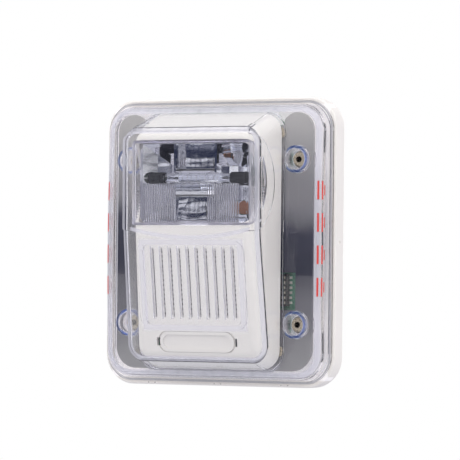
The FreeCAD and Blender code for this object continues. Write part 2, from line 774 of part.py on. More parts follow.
def lens_side_ribs():
    """Short half-round ribs inside the lens sides, one above the other."""
    inset = COVER_T + BEZEL_GAP + LENS_SIDE_GAP + LENS_T
    low_z = FRONT_CREASE_Z - COVER_T - BEZEL_GAP - LENS_EDGE_R - SIDE_RIB_BACK
    ribs = []
    for index in range(SIDE_RIB_COUNT):
        for side in (-1, 1):
            base = Vector(side * (side_x(low_z, inset) - RIB_SINK), SIDE_RIB_LOW + index * SIDE_RIB_PITCH, low_z)
            ribs.append(Part.makeCylinder(RIB_R, SIDE_RIB_BACK, base, Vector(-side * HOOD_SIDE_SLOPE, 0, 1)))
    return ribs


def make_strobe_lens():
    round_cut = scoop(SCOOP_R - LENS_GAP)
    skin = lens_form(0).cut(lens_form(LENS_T)).common(round_cut)
    outline = [
        Vector(-PRISM_LOW_HALF_W, PRISM_LOW, TUBE_Z),
        Vector(PRISM_LOW_HALF_W, PRISM_LOW, TUBE_Z),
        Vector(PRISM_HIGH_HALF_W, PRISM_HIGH, TUBE_Z),
        Vector(-PRISM_HIGH_HALF_W, PRISM_HIGH, TUBE_Z),
    ]
    block_lens = prism(outline, Vector(0, 0, HOOD_HIGH_Z - TUBE_Z))
    block_lens = block_lens.common(bezel_front(LENS_T / 2)).cut(bezel_front(LENS_T + PRISM_T))
    inside = [piece.common(round_cut) for piece in lens_front_ribs() + lens_side_ribs() + [block_lens]]
    return fuse_all([skin] + inside)


# ------------------------------------------------------------------ strobe

def parabola_trough(grow):
    """The centre of the reflector: a trough with a parabolic section, open to the front."""
    depth = REFLECTOR_FRONT_Z - TROUGH_Z
    focal = TROUGH_HALF_H ** 2 / (4 * depth)
    steps = 12
    half_h = TROUGH_HALF_H + grow
    points = []
    for index in range(steps + 1):
        y = -half_h + 2 * half_h * index / steps
        points.append(Vector(0, TROUGH_Y + y, TROUGH_Z - grow + min(y ** 2, TROUGH_HALF_H ** 2) / (4 * focal)))
    curve = Part.BSplineCurve()
    curve.interpolate(points)
    top_z = REFLECTOR_FRONT_Z + 1
    low_corner = Vector(0, points[0].y, top_z)
    high_corner = Vector(0, points[-1].y, top_z)
    edges = [
        curve.toShape(),
        Part.makeLine(points[-1], high_corner),
        Part.makeLine(high_corner, low_corner),
        Part.makeLine(low_corner, points[0]),
    ]
    half_w = TROUGH_HALF_W + grow
    solid = Part.Face(Part.Wire(edges)).extrude(Vector(2 * half_w, 0, 0))
    solid.translate(Vector(-half_w, 0, 0))
    return solid


def wing(side, grow):
    """One flared cell of the reflector, beside the trough."""
    def rectangle(x0, x1, half_h, z):
        points = [
            Vector(side * (x0 - grow), TROUGH_Y - half_h - grow, z),
            Vector(side * (x1 + grow), TROUGH_Y - half_h - grow, z),
            Vector(side * (x1 + grow), TROUGH_Y + half_h + grow, z),
            Vector(side * (x0 - grow), TROUGH_Y + half_h + grow, z),
        ]
        return Part.makePolygon(points + [points[0]])

    back = rectangle(WING_BACK_FROM_X, WING_BACK_TO_X, WING_BACK_HALF_H, WING_BACK_Z - grow)
    front = rectangle(WING_FRONT_FROM_X, WING_FRONT_TO_X, TROUGH_HALF_H, REFLECTOR_FRONT_Z + 0.01)
    return Part.makeLoft([back, front], True, True)


def make_reflector():
    hollow = [parabola_trough(0), wing(-1, 0), wing(1, 0)]
    shell = [parabola_trough(REFLECTOR_T), wing(-1, REFLECTOR_T), wing(1, REFLECTOR_T)]
    rim = block(-REFLECTOR_HALF_W, REFLECTOR_HALF_W, REFLECTOR_LOW, REFLECTOR_HIGH,
                REFLECTOR_FRONT_Z - REFLECTOR_RIM_T, REFLECTOR_FRONT_Z)
    legs = [rod(side * REFLECTOR_LEG_X, TROUGH_Y, REFLECTOR_LEG_R, BOARD_Z + BOARD_T, TROUGH_Z)
            for side in (-1, 1)]
    body = fuse_all(shell + [rim] + legs)
    beyond = block(-BOX_HALF_W, BOX_HALF_W, 0, BOX_HALF_H, REFLECTOR_FRONT_Z, HOOD_HIGH_Z)
    boot_room = cross_rod(TUBE_Y, TUBE_Z, BOOT_R + TUBE_ROOM, -LEAD_X - 1, LEAD_X + 1)
    ends_only = block(-BOOT_FROM_X, BOOT_FROM_X, 0, BOX_HALF_H, 0, HOOD_HIGH_Z)
    notch_half_h = TUBE_R + TUBE_ROOM
    tube_notch = block(-BOOT_FROM_X, BOOT_FROM_X, TUBE_Y - notch_half_h, TUBE_Y + notch_half_h,
                       TUBE_Z - notch_half_h, HOOD_HIGH_Z)
    coil_room = rod(COIL_X, COIL_Y, COIL_R + COIL_ROOM, 0, HOOD_HIGH_Z)
    return body.cut(hollow + [beyond, boot_room.cut(ends_only), tube_notch, coil_room])


def make_flash_tube():
    glass = cross_rod(TUBE_Y, TUBE_Z, TUBE_R, -TUBE_HALF_L, TUBE_HALF_L)
    bore = cross_rod(TUBE_Y, TUBE_Z, TUBE_BORE_R, -TUBE_HALF_L + 1.5, TUBE_HALF_L - 1.5)
    lead_ways = [cross_rod(TUBE_Y, TUBE_Z, LEAD_R, -TUBE_HALF_L - 1, -TUBE_HALF_L + 2),
                 cross_rod(TUBE_Y, TUBE_Z, LEAD_R, TUBE_HALF_L - 2, TUBE_HALF_L + 1)]
    return glass.cut([bore] + lead_ways)


def make_tube_boots():
    boots = []
    for side in (-1, 1):
        start = BOOT_FROM_X if side > 0 else -BOOT_TO_X
        boot = cross_rod(TUBE_Y, TUBE_Z, BOOT_R, start, start + BOOT_TO_X - BOOT_FROM_X)
        glass_end = min(0, side * TUBE_HALF_L)
        boot = boot.cut(cross_rod(TUBE_Y, TUBE_Z, TUBE_R, glass_end, glass_end + TUBE_HALF_L))
        boot = boot.cut(cross_rod(TUBE_Y, TUBE_Z, LEAD_R, -LEAD_X, LEAD_X))
        boots.append(boot)
    return boots


def make_tube_leads():
    """Electrode and lead of each end: out of the glass, then back to the board."""
    leads = []
    for side in (-1, 1):
        inner_x = side * (TUBE_HALF_L - 4)
        outer_x = side * LEAD_X
        across = cross_rod(TUBE_Y, TUBE_Z, LEAD_R, min(inner_x, outer_x), max(inner_x, outer_x))
        electrode_x = min(inner_x, inner_x + side * 2)
        electrode = cross_rod(TUBE_Y, TUBE_Z, TUBE_BORE_R - 0.3, electrode_x, electrode_x + 2)
        elbow = Part.makeSphere(LEAD_R, Vector(outer_x, TUBE_Y, TUBE_Z))
        back = rod(outer_x, TUBE_Y, LEAD_R, BOARD_Z + BOARD_T, TUBE_Z)
        leads.append(fuse_all([across, electrode, elbow, back]))
    return leads


def make_trigger_wire():
    """Bare wire bands round the glass, joined by one straight run."""
    spacing = 5.0
    first = -spacing * (TRIGGER_TURNS - 1) / 2
    loop_r = TUBE_R + TRIGGER_WIRE_R
    solids = []
    for index in range(TRIGGER_TURNS):
        centre = Vector(first + index * spacing, TUBE_Y, TUBE_Z)
        solids.append(Part.makeTorus(loop_r, TRIGGER_WIRE_R, centre, Vector(1, 0, 0)))
    solids.append(cross_rod(TUBE_Y - loop_r, TUBE_Z, TRIGGER_WIRE_R * 0.8, first, -first))
    return fuse_all(solids)


def make_trigger_transformer():
    low = BOARD_Z + BOARD_T
    pitch = (COIL_TOP_Z - low - COIL_FLANGE_T) / COIL_WINDINGS
    pieces = [rod(COIL_X, COIL_Y, COIL_R - COIL_FLANGE_PROUD, low, COIL_TOP_Z)]
    for index in range(COIL_WINDINGS + 1):
        z = low + index * pitch
        pieces.append(rod(COIL_X, COIL_Y, COIL_R, z, z + COIL_FLANGE_T))
    return fuse_all(pieces)


# ------------------------------------------------------------------ chassis, board, switch

def well_rooms(gap):
    return [rod(x, y, WELL_OUTER_R + gap, 0, CROWN_TOP) for x, y in four_corners(SCREW_X, SCREW_Y)]


def make_chassis_plate():
    top = CHASSIS_Z + CHASSIS_T
    half_h = (CHASSIS_BRIDGE_TOP - CHASSIS_LOW) / 2
    sheet = slab(CHASSIS_HALF_W, half_h, CHASSIS_CORNER_R, CHASSIS_Z, top, 0, CHASSIS_LOW + half_h)
    arch_x = CHASSIS_HALF_W - CHASSIS_ARCH_R
    square_off = []
    for side in (-1, 1):
        square_off.append(rod(side * arch_x, CHASSIS_ARCH_Y, CHASSIS_ARCH_R, CHASSIS_Z, top))
        x0 = side * CHASSIS_HALF_W
        x1 = side * (arch_x - CHASSIS_ARCH_R)
        square_off.append(block(min(x0, x1), max(x0, x1), 0, CHASSIS_ARCH_Y, CHASSIS_Z, top))
    sheet = fuse_all([sheet.common(block(-arch_x + 1, arch_x - 1, 0, BOX_HALF_H, CHASSIS_Z, top)),
                      sheet.common(block(-BOX_HALF_W, BOX_HALF_W, -BOX_HALF_H, 1, CHASSIS_Z, top))] + square_off)
    opening = block(-CHASSIS_OPENING_HALF_W, CHASSIS_OPENING_HALF_W, CHASSIS_OPENING_LOW, CHASSIS_OPENING_HIGH,
                    CHASSIS_Z - 1, top + 1)
    window = block(WINDOW_LEFT, WINDOW_RIGHT, WINDOW_LOW, WINDOW_HIGH, CHASSIS_Z - 1, top + 1)
    screw_holes = [rod(x, y, BOARD_SCREW_R + 0.1, 0, top + 1) for x, y in four_corners(BOARD_POST_X, BOARD_POST_Y)]
    return sheet.cut([opening, window] + screw_holes + well_rooms(CHASSIS_WELL_GAP))


def make_circuit_board():
    top = BOARD_Z + BOARD_T
    sheet = slab(BOARD_HALF_W, BOARD_HALF_H, BOARD_CORNER_R, BOARD_Z, top)
    ear = block(BOARD_HALF_W - 5, BOARD_EAR_RIGHT, BOARD_EAR_LOW, BOARD_EAR_HIGH, BOARD_Z, top)
    sheet = sheet.fuse(ear).removeSplitter()
    holes = [rod(x, y, BOARD_SCREW_R + 0.1, 0, top + 1) for x, y in four_corners(BOARD_POST_X, BOARD_POST_Y)]
    holes += [rod(x, y, ACCESS_HOLE_R, 0, top + 1) for x, y in device_hole_places()]
    for x in terminal_places():
        for y in terminal_pin_rows():
            holes.append(rod(x, y, TERMINAL_PIN_R, 0, top + 1))
    return sheet.cut(holes + well_rooms(CHASSIS_WELL_GAP))


def make_board_spacers():
    low = BOARD_Z + BOARD_T
    return [ring(x, y, BOARD_POST_R, BOARD_SCREW_R + 0.1, low, CHASSIS_Z)
            for x, y in four_corners(BOARD_POST_X, BOARD_POST_Y)]


def make_board_screws():
    low = CHASSIS_Z + CHASSIS_T
    top = low + BOARD_SCREW_HEAD_T
    cross_low = top - BOARD_SCREW_CROSS_DEPTH
    long = BOARD_SCREW_CROSS_REACH
    thin = BOARD_SCREW_CROSS_HALF_W
    screws = []
    for x, y in four_corners(BOARD_POST_X, BOARD_POST_Y):
        head = rod(x, y, BOARD_SCREW_HEAD_R, low, top)
        cross = [block(x - long, x + long, y - thin, y + thin, cross_low, top + 1),
                 block(x - thin, x + thin, y - long, y + long, cross_low, top + 1)]
        shank = rod(x, y, BOARD_SCREW_R, BOARD_SCREW_TIP_Z, low)
        screws.append(head.cut(cross).fuse(shank).removeSplitter())
    return screws


def dip_way_places():
    first = DIP_Y - DIP_PITCH * (DIP_WAYS - 1) / 2
    return [first + index * DIP_PITCH for index in range(DIP_WAYS)]


def make_dip_body():
    low = BOARD_Z + BOARD_T
    top = low + DIP_T
    half_h = DIP_PITCH * DIP_WAYS / 2 + DIP_END / 2
    body = block(DIP_X - DIP_HALF_W, DIP_X + DIP_HALF_W, DIP_Y - half_h, DIP_Y + half_h, low, top)
    body = body.makeFillet(DIP_EDGE_R, forward_rim(body))
    half_l = (SLIDER_LENGTH + DIP_STROKE) / 2 + SLIDER_GAP
    half_w = SLIDER_W / 2 + SLIDER_GAP
    wells = [block(DIP_X - half_l, DIP_X + half_l, y - half_w, y + half_w, top - DIP_WELL_DEPTH, top + 1)
             for y in dip_way_places()]
    return body.cut(wells)


def make_dip_slider(y):
    """One slider, drawn at the left end of its well."""
    top = BOARD_Z + BOARD_T + DIP_T
    x0 = DIP_X - (SLIDER_LENGTH + DIP_STROKE) / 2
    low = top - DIP_WELL_DEPTH + SLIDER_GAP
    slider = block(x0, x0 + SLIDER_LENGTH, y - SLIDER_W / 2, y + SLIDER_W / 2, low, low + SLIDER_T)
    return slider.makeFillet(SLIDER_EDGE_R, forward_rim(slider))


def make_dip_pads():
    low = BOARD_Z + BOARD_T
    pads = []
    for y in dip_way_places():
        for side in (-1, 1):
            near = DIP_X + side * DIP_HALF_W
            far = DIP_X + side * PAD_REACH
            pads.append(block(min(near, far), max(near, far), y - PAD_W / 2, y + PAD_W / 2, low, low + PAD_T))
    return pads


# ------------------------------------------------------------------ field terminals

def terminal_places():
    first = -TERMINAL_PITCH * (TERMINAL_WAYS - 1) / 2
    return [first + index * TERMINAL_PITCH for index in range(TERMINAL_WAYS)]


def terminal_pin_rows():
    return [TERMINAL_Y - TERMINAL_PIN_OFFSET, TERMINAL_Y + TERMINAL_PIN_OFFSET]


def make_terminal_block():
    """Body with a cage pocket per way, open towards the wire entry."""
    half_w = TERMINAL_PITCH * TERMINAL_WAYS / 2 + TERMINAL_END
    back = TERMINAL_BACK_Z
    body = block(-half_w, half_w, TERMINAL_Y - TERMINAL_HALF_H, TERMINAL_Y + TERMINAL_HALF_H, back, BOARD_Z)
    web_z = back + TERMINAL_HEAD_T + TERMINAL_HEAD_RECESS
    pocket_top = BOARD_Z - TERMINAL_FRONT_T
    side_gap = CAGE_HALF_W + CAGE_GAP
    tall_gap = CAGE_HALF_H + CAGE_GAP
    mouth = TERMINAL_MOUTH_HALF_W
    cuts = []
    for x in terminal_places():
        cuts.append(rod(x, TERMINAL_Y, TERMINAL_HEAD_R + TERMINAL_CLEARANCE, back - 1, web_z))
        cuts.append(rod(x, TERMINAL_Y, TERMINAL_SHANK_R + TERMINAL_CLEARANCE, back - 1, pocket_top))
        cuts.append(block(x - side_gap, x + side_gap, TERMINAL_Y - tall_gap, TERMINAL_Y + tall_gap,
                          web_z + TERMINAL_WEB_T, pocket_top))
        cuts.append(block(x - mouth, x + mouth, TERMINAL_Y - TERMINAL_HALF_H - 1, TERMINAL_Y,
                          CAGE_REST_Z + CAGE_PLATE_T, pocket_top - CAGE_PLATE_T))
        for y in terminal_pin_rows():
            cuts.append(rod(x, y, TERMINAL_PIN_R, BOARD_Z - TERMINAL_PIN_SINK, BOARD_Z + 1))
    return body.cut(cuts)


def make_terminal_pins():
    tip_z = BOARD_Z + BOARD_T - TERMINAL_HEAD_RECESS
    return [rod(x, y, TERMINAL_PIN_R, BOARD_Z - TERMINAL_PIN_SINK, tip_z)
            for x in terminal_places() for y in terminal_pin_rows()]


def make_terminal_screw(x):
    back = TERMINAL_BACK_Z + TERMINAL_HEAD_RECESS
    head_top = TERMINAL_BACK_Z + TERMINAL_HEAD_T
    reach = TERMINAL_HEAD_R + 1
    head = rod(x, TERMINAL_Y, TERMINAL_HEAD_R, back, head_top)
    slot = block(x - reach, x + reach, TERMINAL_Y - TERMINAL_SLOT_W / 2, TERMINAL_Y + TERMINAL_SLOT_W / 2,
                 back - 1, back + TERMINAL_SLOT_DEPTH)
    shank = rod(x, TERMINAL_Y, TERMINAL_SHANK_R, head_top, TERMINAL_SHANK_TIP_Z)
    return head.cut(slot).fuse(shank).removeSplitter()


def make_clamp_cage(x):
    """A square loop: the screw pulls it towards its head to grip the wire."""
    z0 = CAGE_REST_Z
    body = block(x - CAGE_HALF_W, x + CAGE_HALF_W, TERMINAL_Y - CAGE_HALF_H, TERMINAL_Y + CAGE_HALF_H,
                 z0, z0 + CAGE_T)
    way_half_w = CAGE_HALF_W - CAGE_WALL_T
    wire_way = block(x - way_half_w, x + way_half_w, TERMINAL_Y - CAGE_HALF_H - 1,
                     TERMINAL_Y + CAGE_HALF_H + 1, z0 + CAGE_PLATE_T, z0 + CAGE_T - CAGE_PLATE_T)
    thread = rod(x, TERMINAL_Y, TERMINAL_SHANK_R + THREAD_CLEARANCE, z0 - 1, z0 + CAGE_T / 2)
    return body.cut([wire_way, thread])


# ------------------------------------------------------------------ horn

def make_horn_case():
    low = BOARD_Z + BOARD_T
    cup = ring(0, HORN_Y, HORN_R, HORN_R - HORN_WALL, low, HORN_RIM_Z)
    floor = rod(0, HORN_Y, HORN_R - HORN_WALL / 2, low, low + HORN_FLOOR)
    return cup.fuse(floor).removeSplitter()


def make_horn_yoke():
    low = BOARD_Z + BOARD_T + HORN_FLOOR
    disc = rod(0, HORN_Y, YOKE_R, low, low + YOKE_T)
    return disc.fuse(rod(0, HORN_Y, POLE_R, low, POLE_TOP_Z)).removeSplitter()


def make_horn_magnet():
    low = BOARD_Z + BOARD_T + HORN_FLOOR + YOKE_T
    return ring(0, HORN_Y, MAGNET_R, MAGNET_BORE_R, low, low + MAGNET_T)


def make_horn_coil():
    low = BOARD_Z + BOARD_T + HORN_FLOOR + YOKE_T
    return ring(0, HORN_Y, VOICE_COIL_R, POLE_R + VOICE_COIL_GAP, low, low + VOICE_COIL_T)


def make_horn_diaphragm():
    sheet = rod(0, HORN_Y, DIAPHRAGM_R, DIAPHRAGM_Z, DIAPHRAGM_Z + DIAPHRAGM_T)
    armature = rod(0, HORN_Y, ARMATURE_R, DIAPHRAGM_Z - ARMATURE_T, DIAPHRAGM_Z)
    return sheet.fuse(armature).removeSplitter()


def duct_slab(inset, z0, z1):
    return slab(DUCT_HALF_W - inset, DUCT_HALF_H - inset, DUCT_CORNER_R - inset / 2, z0, z1, 0, SLOT_Y)


def make_horn_throat():
    """Lid of the horn and the duct that leads to the grille."""
    low = HORN_RIM_Z
    lid = duct_slab(0, low, low + THROAT_T)
    lid = lid.cut(rod(0, HORN_Y, THROAT_R, low - 1, low + THROAT_T + 1))
    duct = duct_slab(0, low, HOOD_HIGH_Z).cut(duct_slab(DUCT_WALL, low - 1, HOOD_HIGH_Z + 1))
    duct = duct.common(bezel_front(BEZEL_T + DUCT_GAP))
    return lid.fuse(duct).removeSplitter()


def make_insect_screen():
    """A slatted sheet across the duct's mouth, just under the bezel."""
    inset = DUCT_WALL + SCREEN_FIT
    sheet = duct_slab(inset, HORN_RIM_Z, HOOD_HIGH_Z).common(bezel_front(BEZEL_T + SCREEN_DROP))
    sheet = sheet.cut(bezel_front(BEZEL_T + SCREEN_DROP + SCREEN_T))
    half_w = DUCT_HALF_W - inset - SCREEN_BORDER
    count = int(2 * (DUCT_HALF_H - inset - SCREEN_BORDER) / SCREEN_BAR_PITCH)
    first = SLOT_Y - SCREEN_BAR_PITCH * (count - 1) / 2
    gaps = []
    for index in range(count):
        y = first + index * SCREEN_BAR_PITCH
        gaps.append(block(-half_w, half_w, y - SCREEN_GAP / 2, y + SCREEN_GAP / 2, HORN_RIM_Z, HOOD_HIGH_Z))
    return sheet.cut(gaps)


def make_horn_leads():
    """Two short wires from the coil's side of the case to the board."""
    low = BOARD_Z + BOARD_T
    bend_z = low + HORN_LEAD_RISE
    start_y = HORN_Y + HORN_R + HORN_LEAD_GAP
    bend_y = start_y + HORN_LEAD_REACH
    wires = []
    for side in (-1, 1):
        x = side * HORN_LEAD_X
        up = rod(x, bend_y, HORN_LEAD_R, low, bend_z)
        along = Part.makeCylinder(HORN_LEAD_R, HORN_LEAD_REACH, Vector(x, start_y, bend_z), Vector(0, 1, 0))
        elbow = Part.makeSphere(HORN_LEAD_R, Vector(x, bend_y, bend_z))
        wires.append(fuse_all([up, elbow, along]))
    return wires


# ------------------------------------------------------------------ board parts

def make_storage_capacitor():
    low = BOARD_Z + BOARD_T
    z = low + CAPACITOR_R + CAPACITOR_LIFT
    can = cross_rod(CAPACITOR_Y, z, CAPACITOR_R, -CAPACITOR_HALF_L, CAPACITOR_HALF_L)
    can = can.makeFillet(CAPACITOR_EDGE_R, [edge for edge in can.Edges if edge.BoundBox.XLength < 0.01])
    groove_x = CAPACITOR_HALF_L - CAPACITOR_GROOVE_FROM_END
    groove = cross_rod(CAPACITOR_Y, z, CAPACITOR_R + 1, groove_x, groove_x + CAPACITOR_GROOVE_W)
    core = cross_rod(CAPACITOR_Y, z, CAPACITOR_R - CAPACITOR_GROOVE_DEPTH, groove_x - 1, groove_x + 2)
    saddle = block(SADDLE_LEFT, SADDLE_RIGHT, CAPACITOR_Y - SADDLE_HALF_H, CAPACITOR_Y + SADDLE_HALF_H, low, z)
    return can.cut(groove.cut(core)).fuse(saddle).removeSplitter()


def make_inductor():
    low = BOARD_Z + BOARD_T
    top = low + INDUCTOR_T
    waist = rod(INDUCTOR_X, INDUCTOR_Y, INDUCTOR_R - INDUCTOR_WAIST_DEPTH, low, top)
    foot = rod(INDUCTOR_X, INDUCTOR_Y, INDUCTOR_R, low, low + INDUCTOR_FLANGE_T)
    head = rod(INDUCTOR_X, INDUCTOR_Y, INDUCTOR_R, top - INDUCTOR_FLANGE_T, top)
    return fuse_all([waist, foot, head])


def make_controller_chip():
    low = BOARD_Z + BOARD_T
    body_low = low + CHIP_LIFT
    body = block(CHIP_X - CHIP_HALF_W, CHIP_X + CHIP_HALF_W, CHIP_Y - CHIP_HALF_H, CHIP_Y + CHIP_HALF_H,
                 body_low, body_low + CHIP_T)
    first = CHIP_Y - CHIP_PIN_PITCH * (CHIP_PIN_COUNT - 1) / 2
    pins = []
    for index in range(CHIP_PIN_COUNT):
        y = first + index * CHIP_PIN_PITCH
        pins.append(block(CHIP_X - CHIP_PIN_REACH, CHIP_X + CHIP_PIN_REACH,
                          y - CHIP_PIN_HALF_W, y + CHIP_PIN_HALF_W, low, low + CHIP_PIN_T))
    return fuse_all([body] + pins)


def centred_block(x, y, size, low):
    width, height, thickness = size
    return block(x - width / 2, x + width / 2, y - height / 2, y + height / 2, low, low + thickness)


def make_chip_parts():
    """Resistors, diodes and small capacitors soldered to the front of the board."""
    low = BOARD_Z + BOARD_T
    resistors = [centred_block(RESISTOR_X, RESISTOR_TOP_Y - index * RESISTOR_PITCH, RESISTOR_SIZE, low)
                 for index in range(RESISTOR_COUNT)]
    diodes = [centred_block(DIODE_LEFT_X + index * DIODE_PITCH, DIODE_Y, DIODE_SIZE, low)
              for index in range(DIODE_COUNT)]
    capacitors = [rod(SMALL_CAPACITOR_X, y, SMALL_CAPACITOR_R, low, low + SMALL_CAPACITOR_T)
                  for y in SMALL_CAPACITOR_Y]
    return resistors + diodes + capacitors


# ------------------------------------------------------------------ build

def main():
    os.makedirs("parts", exist_ok=True)
    export("back_box", make_back_box())
    export("cover_gasket", groove_ring(0))
    export("clear_cover", make_clear_cover())
    export("cover_screws", make_cover_screws())
    export("cover_washers", make_cover_washers())
    export("thread_inserts", make_thread_inserts())
    export("bezel", make_bezel())
    export("name_plate", make_name_plate())
    export("strobe_lens", make_strobe_lens())
    export("reflector", make_reflector())
    export("flash_tube", make_flash_tube())
    export("tube_boots", make_tube_boots())
    export("tube_leads", make_tube_leads())
    export("trigger_wire", make_trigger_wire())
    export("trigger_transformer", make_trigger_transformer())
    export("chassis_plate", make_chassis_plate())
    export("circuit_board", make_circuit_board())
    export("board_spacers", make_board_spacers())
    export("board_screws", make_board_screws())
    export("dip_body", make_dip_body())
    for number, y in enumerate(dip_way_places(), start=1):
        export(f"dip_slider_{number}", make_dip_slider(y))
    export("dip_pads", make_dip_pads())
    export("terminal_block", make_terminal_block())
    export("terminal_pins", make_terminal_pins())
    for number, x in enumerate(terminal_places(), start=1):
        export(f"terminal_screw_{number}", make_terminal_screw(x))
        export(f"clamp_cage_{number}", make_clamp_cage(x))
    export("horn_case", make_horn_case())
    export("horn_yoke", make_horn_yoke())
    export("horn_magnet", make_horn_magnet())
    export("horn_coil", make_horn_coil())
    export("horn_diaphragm", make_horn_diaphragm())
    export("horn_throat", make_horn_throat())
    export("insect_screen", make_insect_screen())
    export("horn_leads", make_horn_leads())
    export("storage_capacitor", make_storage_capacitor())
    export("inductor", make_inductor())
    export("controller_chip", make_controller_chip())
    export("chip_parts", make_chip_parts())


main()
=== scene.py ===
import json
import math

import bmesh
import bpy
from mathutils import Matrix, Vector
from mathutils.bvhtree import BVHTree


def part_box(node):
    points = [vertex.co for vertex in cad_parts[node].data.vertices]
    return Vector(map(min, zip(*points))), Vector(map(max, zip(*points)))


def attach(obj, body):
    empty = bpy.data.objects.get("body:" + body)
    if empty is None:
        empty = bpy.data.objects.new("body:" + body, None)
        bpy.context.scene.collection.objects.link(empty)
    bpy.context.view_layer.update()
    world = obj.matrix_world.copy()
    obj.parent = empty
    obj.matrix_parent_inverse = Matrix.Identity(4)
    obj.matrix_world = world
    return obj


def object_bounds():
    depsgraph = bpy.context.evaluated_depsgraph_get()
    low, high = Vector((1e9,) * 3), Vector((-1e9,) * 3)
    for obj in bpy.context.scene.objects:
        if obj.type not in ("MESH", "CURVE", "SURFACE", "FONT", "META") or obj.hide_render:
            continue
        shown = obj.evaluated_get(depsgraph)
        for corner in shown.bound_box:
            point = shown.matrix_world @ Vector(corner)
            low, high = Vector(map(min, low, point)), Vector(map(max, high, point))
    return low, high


# A wall-mounted horn strobe, looked at from the right of its front, on plain white.
# Metres throughout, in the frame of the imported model: the wall is the plane Y = 0, +Z is up
# and the face looks along -Y.

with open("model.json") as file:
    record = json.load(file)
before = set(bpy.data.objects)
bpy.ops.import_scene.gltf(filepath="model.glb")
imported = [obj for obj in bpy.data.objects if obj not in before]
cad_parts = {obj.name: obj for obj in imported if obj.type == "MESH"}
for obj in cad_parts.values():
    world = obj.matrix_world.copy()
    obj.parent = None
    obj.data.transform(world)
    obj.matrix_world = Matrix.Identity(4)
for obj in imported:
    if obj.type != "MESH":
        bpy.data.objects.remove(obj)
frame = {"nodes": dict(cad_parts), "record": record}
cad_low, cad_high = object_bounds()
nodes = frame["nodes"]

MM = 0.001
WHITE = (1.0, 1.0, 1.0)


# ------------------------------------------------------------------ node helpers

class Shader:
    """The node tree of a material or a world, with short calls for the nodes used here."""

    def __init__(self, owner, output_kind="ShaderNodeOutputMaterial", coordinate="Object"):
        self.owner = owner
        owner.use_nodes = True
        self.tree = owner.node_tree
        self.tree.nodes.clear()
        self.output = self.add(output_kind)
        self.place = self.add("ShaderNodeTexCoord").outputs[coordinate]

    def add(self, kind, **settings):
        node = self.tree.nodes.new(kind)
        for key, value in settings.items():
            setattr(node, key, value)
        return node

    def put(self, target, value):
        """Feed an input from a socket, a colour or a number."""
        if isinstance(value, bpy.types.NodeSocket):
            self.tree.links.new(value, target)
        elif isinstance(value, tuple) and len(value) == 3 and target.type == "RGBA":
            target.default_value = (*value, 1.0)
        else:
            target.default_value = value

    def noise(self, scale, detail=3.0, roughness=0.5, stretch=None):
        node = self.add("ShaderNodeTexNoise")
        self.put(node.inputs["Vector"], self.stretched(stretch))
        self.put(node.inputs["Scale"], scale)
        self.put(node.inputs["Detail"], detail)
        self.put(node.inputs["Roughness"], roughness)
        return node.outputs["Fac"]

    def cells(self, scale, feature):
        node = self.add("ShaderNodeTexVoronoi", feature=feature)
        self.put(node.inputs["Vector"], self.place)
        self.put(node.inputs["Scale"], scale)
        return node.outputs["Distance"]

    def stretched(self, stretch):
        if stretch is None:
            return self.place
        node = self.add("ShaderNodeVectorMath", operation="MULTIPLY")
        self.put(node.inputs[0], self.place)
        node.inputs[1].default_value = stretch
        return node.outputs["Vector"]

    def axis(self, letter, vector=None):
        """The X, Y or Z part of a vector, which is the shaded point when none is given."""
        node = self.add("ShaderNodeSeparateXYZ")
        self.put(node.inputs["Vector"], vector or self.place)
        return node.outputs[letter]

    def ramp(self, fac, low, high, start=0.0, end=1.0, shape="LINEAR"):
        """A number from low to high as fac goes from start to end."""
        node = self.add("ShaderNodeMapRange", interpolation_type=shape)
        self.put(node.inputs["Value"], fac)
        for key, value in (("From Min", start), ("From Max", end), ("To Min", low), ("To Max", high)):
            self.put(node.inputs[key], value)
        return node.outputs["Result"]

    def mix_colour(self, fac, first, second):
        node = self.add("ShaderNodeMix", data_type="RGBA")
        self.put(node.inputs[0], fac)
        self.put(node.inputs[6], first)
        self.put(node.inputs[7], second)
        return node.outputs[2]

    def math(self, operation, first, second=0.0):
        node = self.add("ShaderNodeMath", operation=operation)
        self.put(node.inputs[0], first)
        self.put(node.inputs[1], second)
        return node.outputs["Value"]

    def bump(self, height, strength, distance):
        node = self.add("ShaderNodeBump")
        self.put(node.inputs["Height"], height)
        self.put(node.inputs["Strength"], strength)
        self.put(node.inputs["Distance"], distance)
        return node.outputs["Normal"]

    def principled(self, **inputs):
        """Keyword names are the node's input names with _ for a space."""
        node = self.add("ShaderNodeBsdfPrincipled")
        for key, value in inputs.items():
            self.put(node.inputs[key.replace("_", " ")], value)
        return node.outputs["BSDF"]

    def surface(self, shader):
        self.tree.links.new(shader, self.output.inputs["Surface"])
        return self.owner

    def blend(self, fac, first, second):
        mix = self.add("ShaderNodeMixShader")
        self.put(mix.inputs[0], fac)
        self.tree.links.new(first, mix.inputs[1])
        self.tree.links.new(second, mix.inputs[2])
        return mix.outputs["Shader"]

    def light_through(self, clear):
        """Clear plastic that lets lamp light reach what is behind it, which plain refraction doesn't."""
        path = self.add("ShaderNodeLightPath")
        passing = self.math("MAXIMUM", path.outputs["Is Shadow Ray"], path.outputs["Is Diffuse Ray"])
        see_through = self.add("ShaderNodeBsdfTransparent")
        self.put(see_through.inputs["Color"], LIGHT_PASSED)
        return self.surface(self.blend(passing, clear, see_through.outputs["BSDF"]))


# ------------------------------------------------------------------ materials

# Moulded plastic: noise scales of its cloudiness, its gloss and its spark texture.
CLOUD_SCALE = 28.0
GLOSS_SCALE = 90.0
SPARK_SCALE = 1400.0
SPARK_DEPTH = 0.02 * MM

# The mounting box, and the glow that stands for light the clear cover carries into it.
BOX_WALL = 3.7 * MM
BOX_FLOOR = 2.3 * MM
PIPED_LIGHT = (0.88, 0.88, 1.0)
PIPED_STRENGTH = 0.24

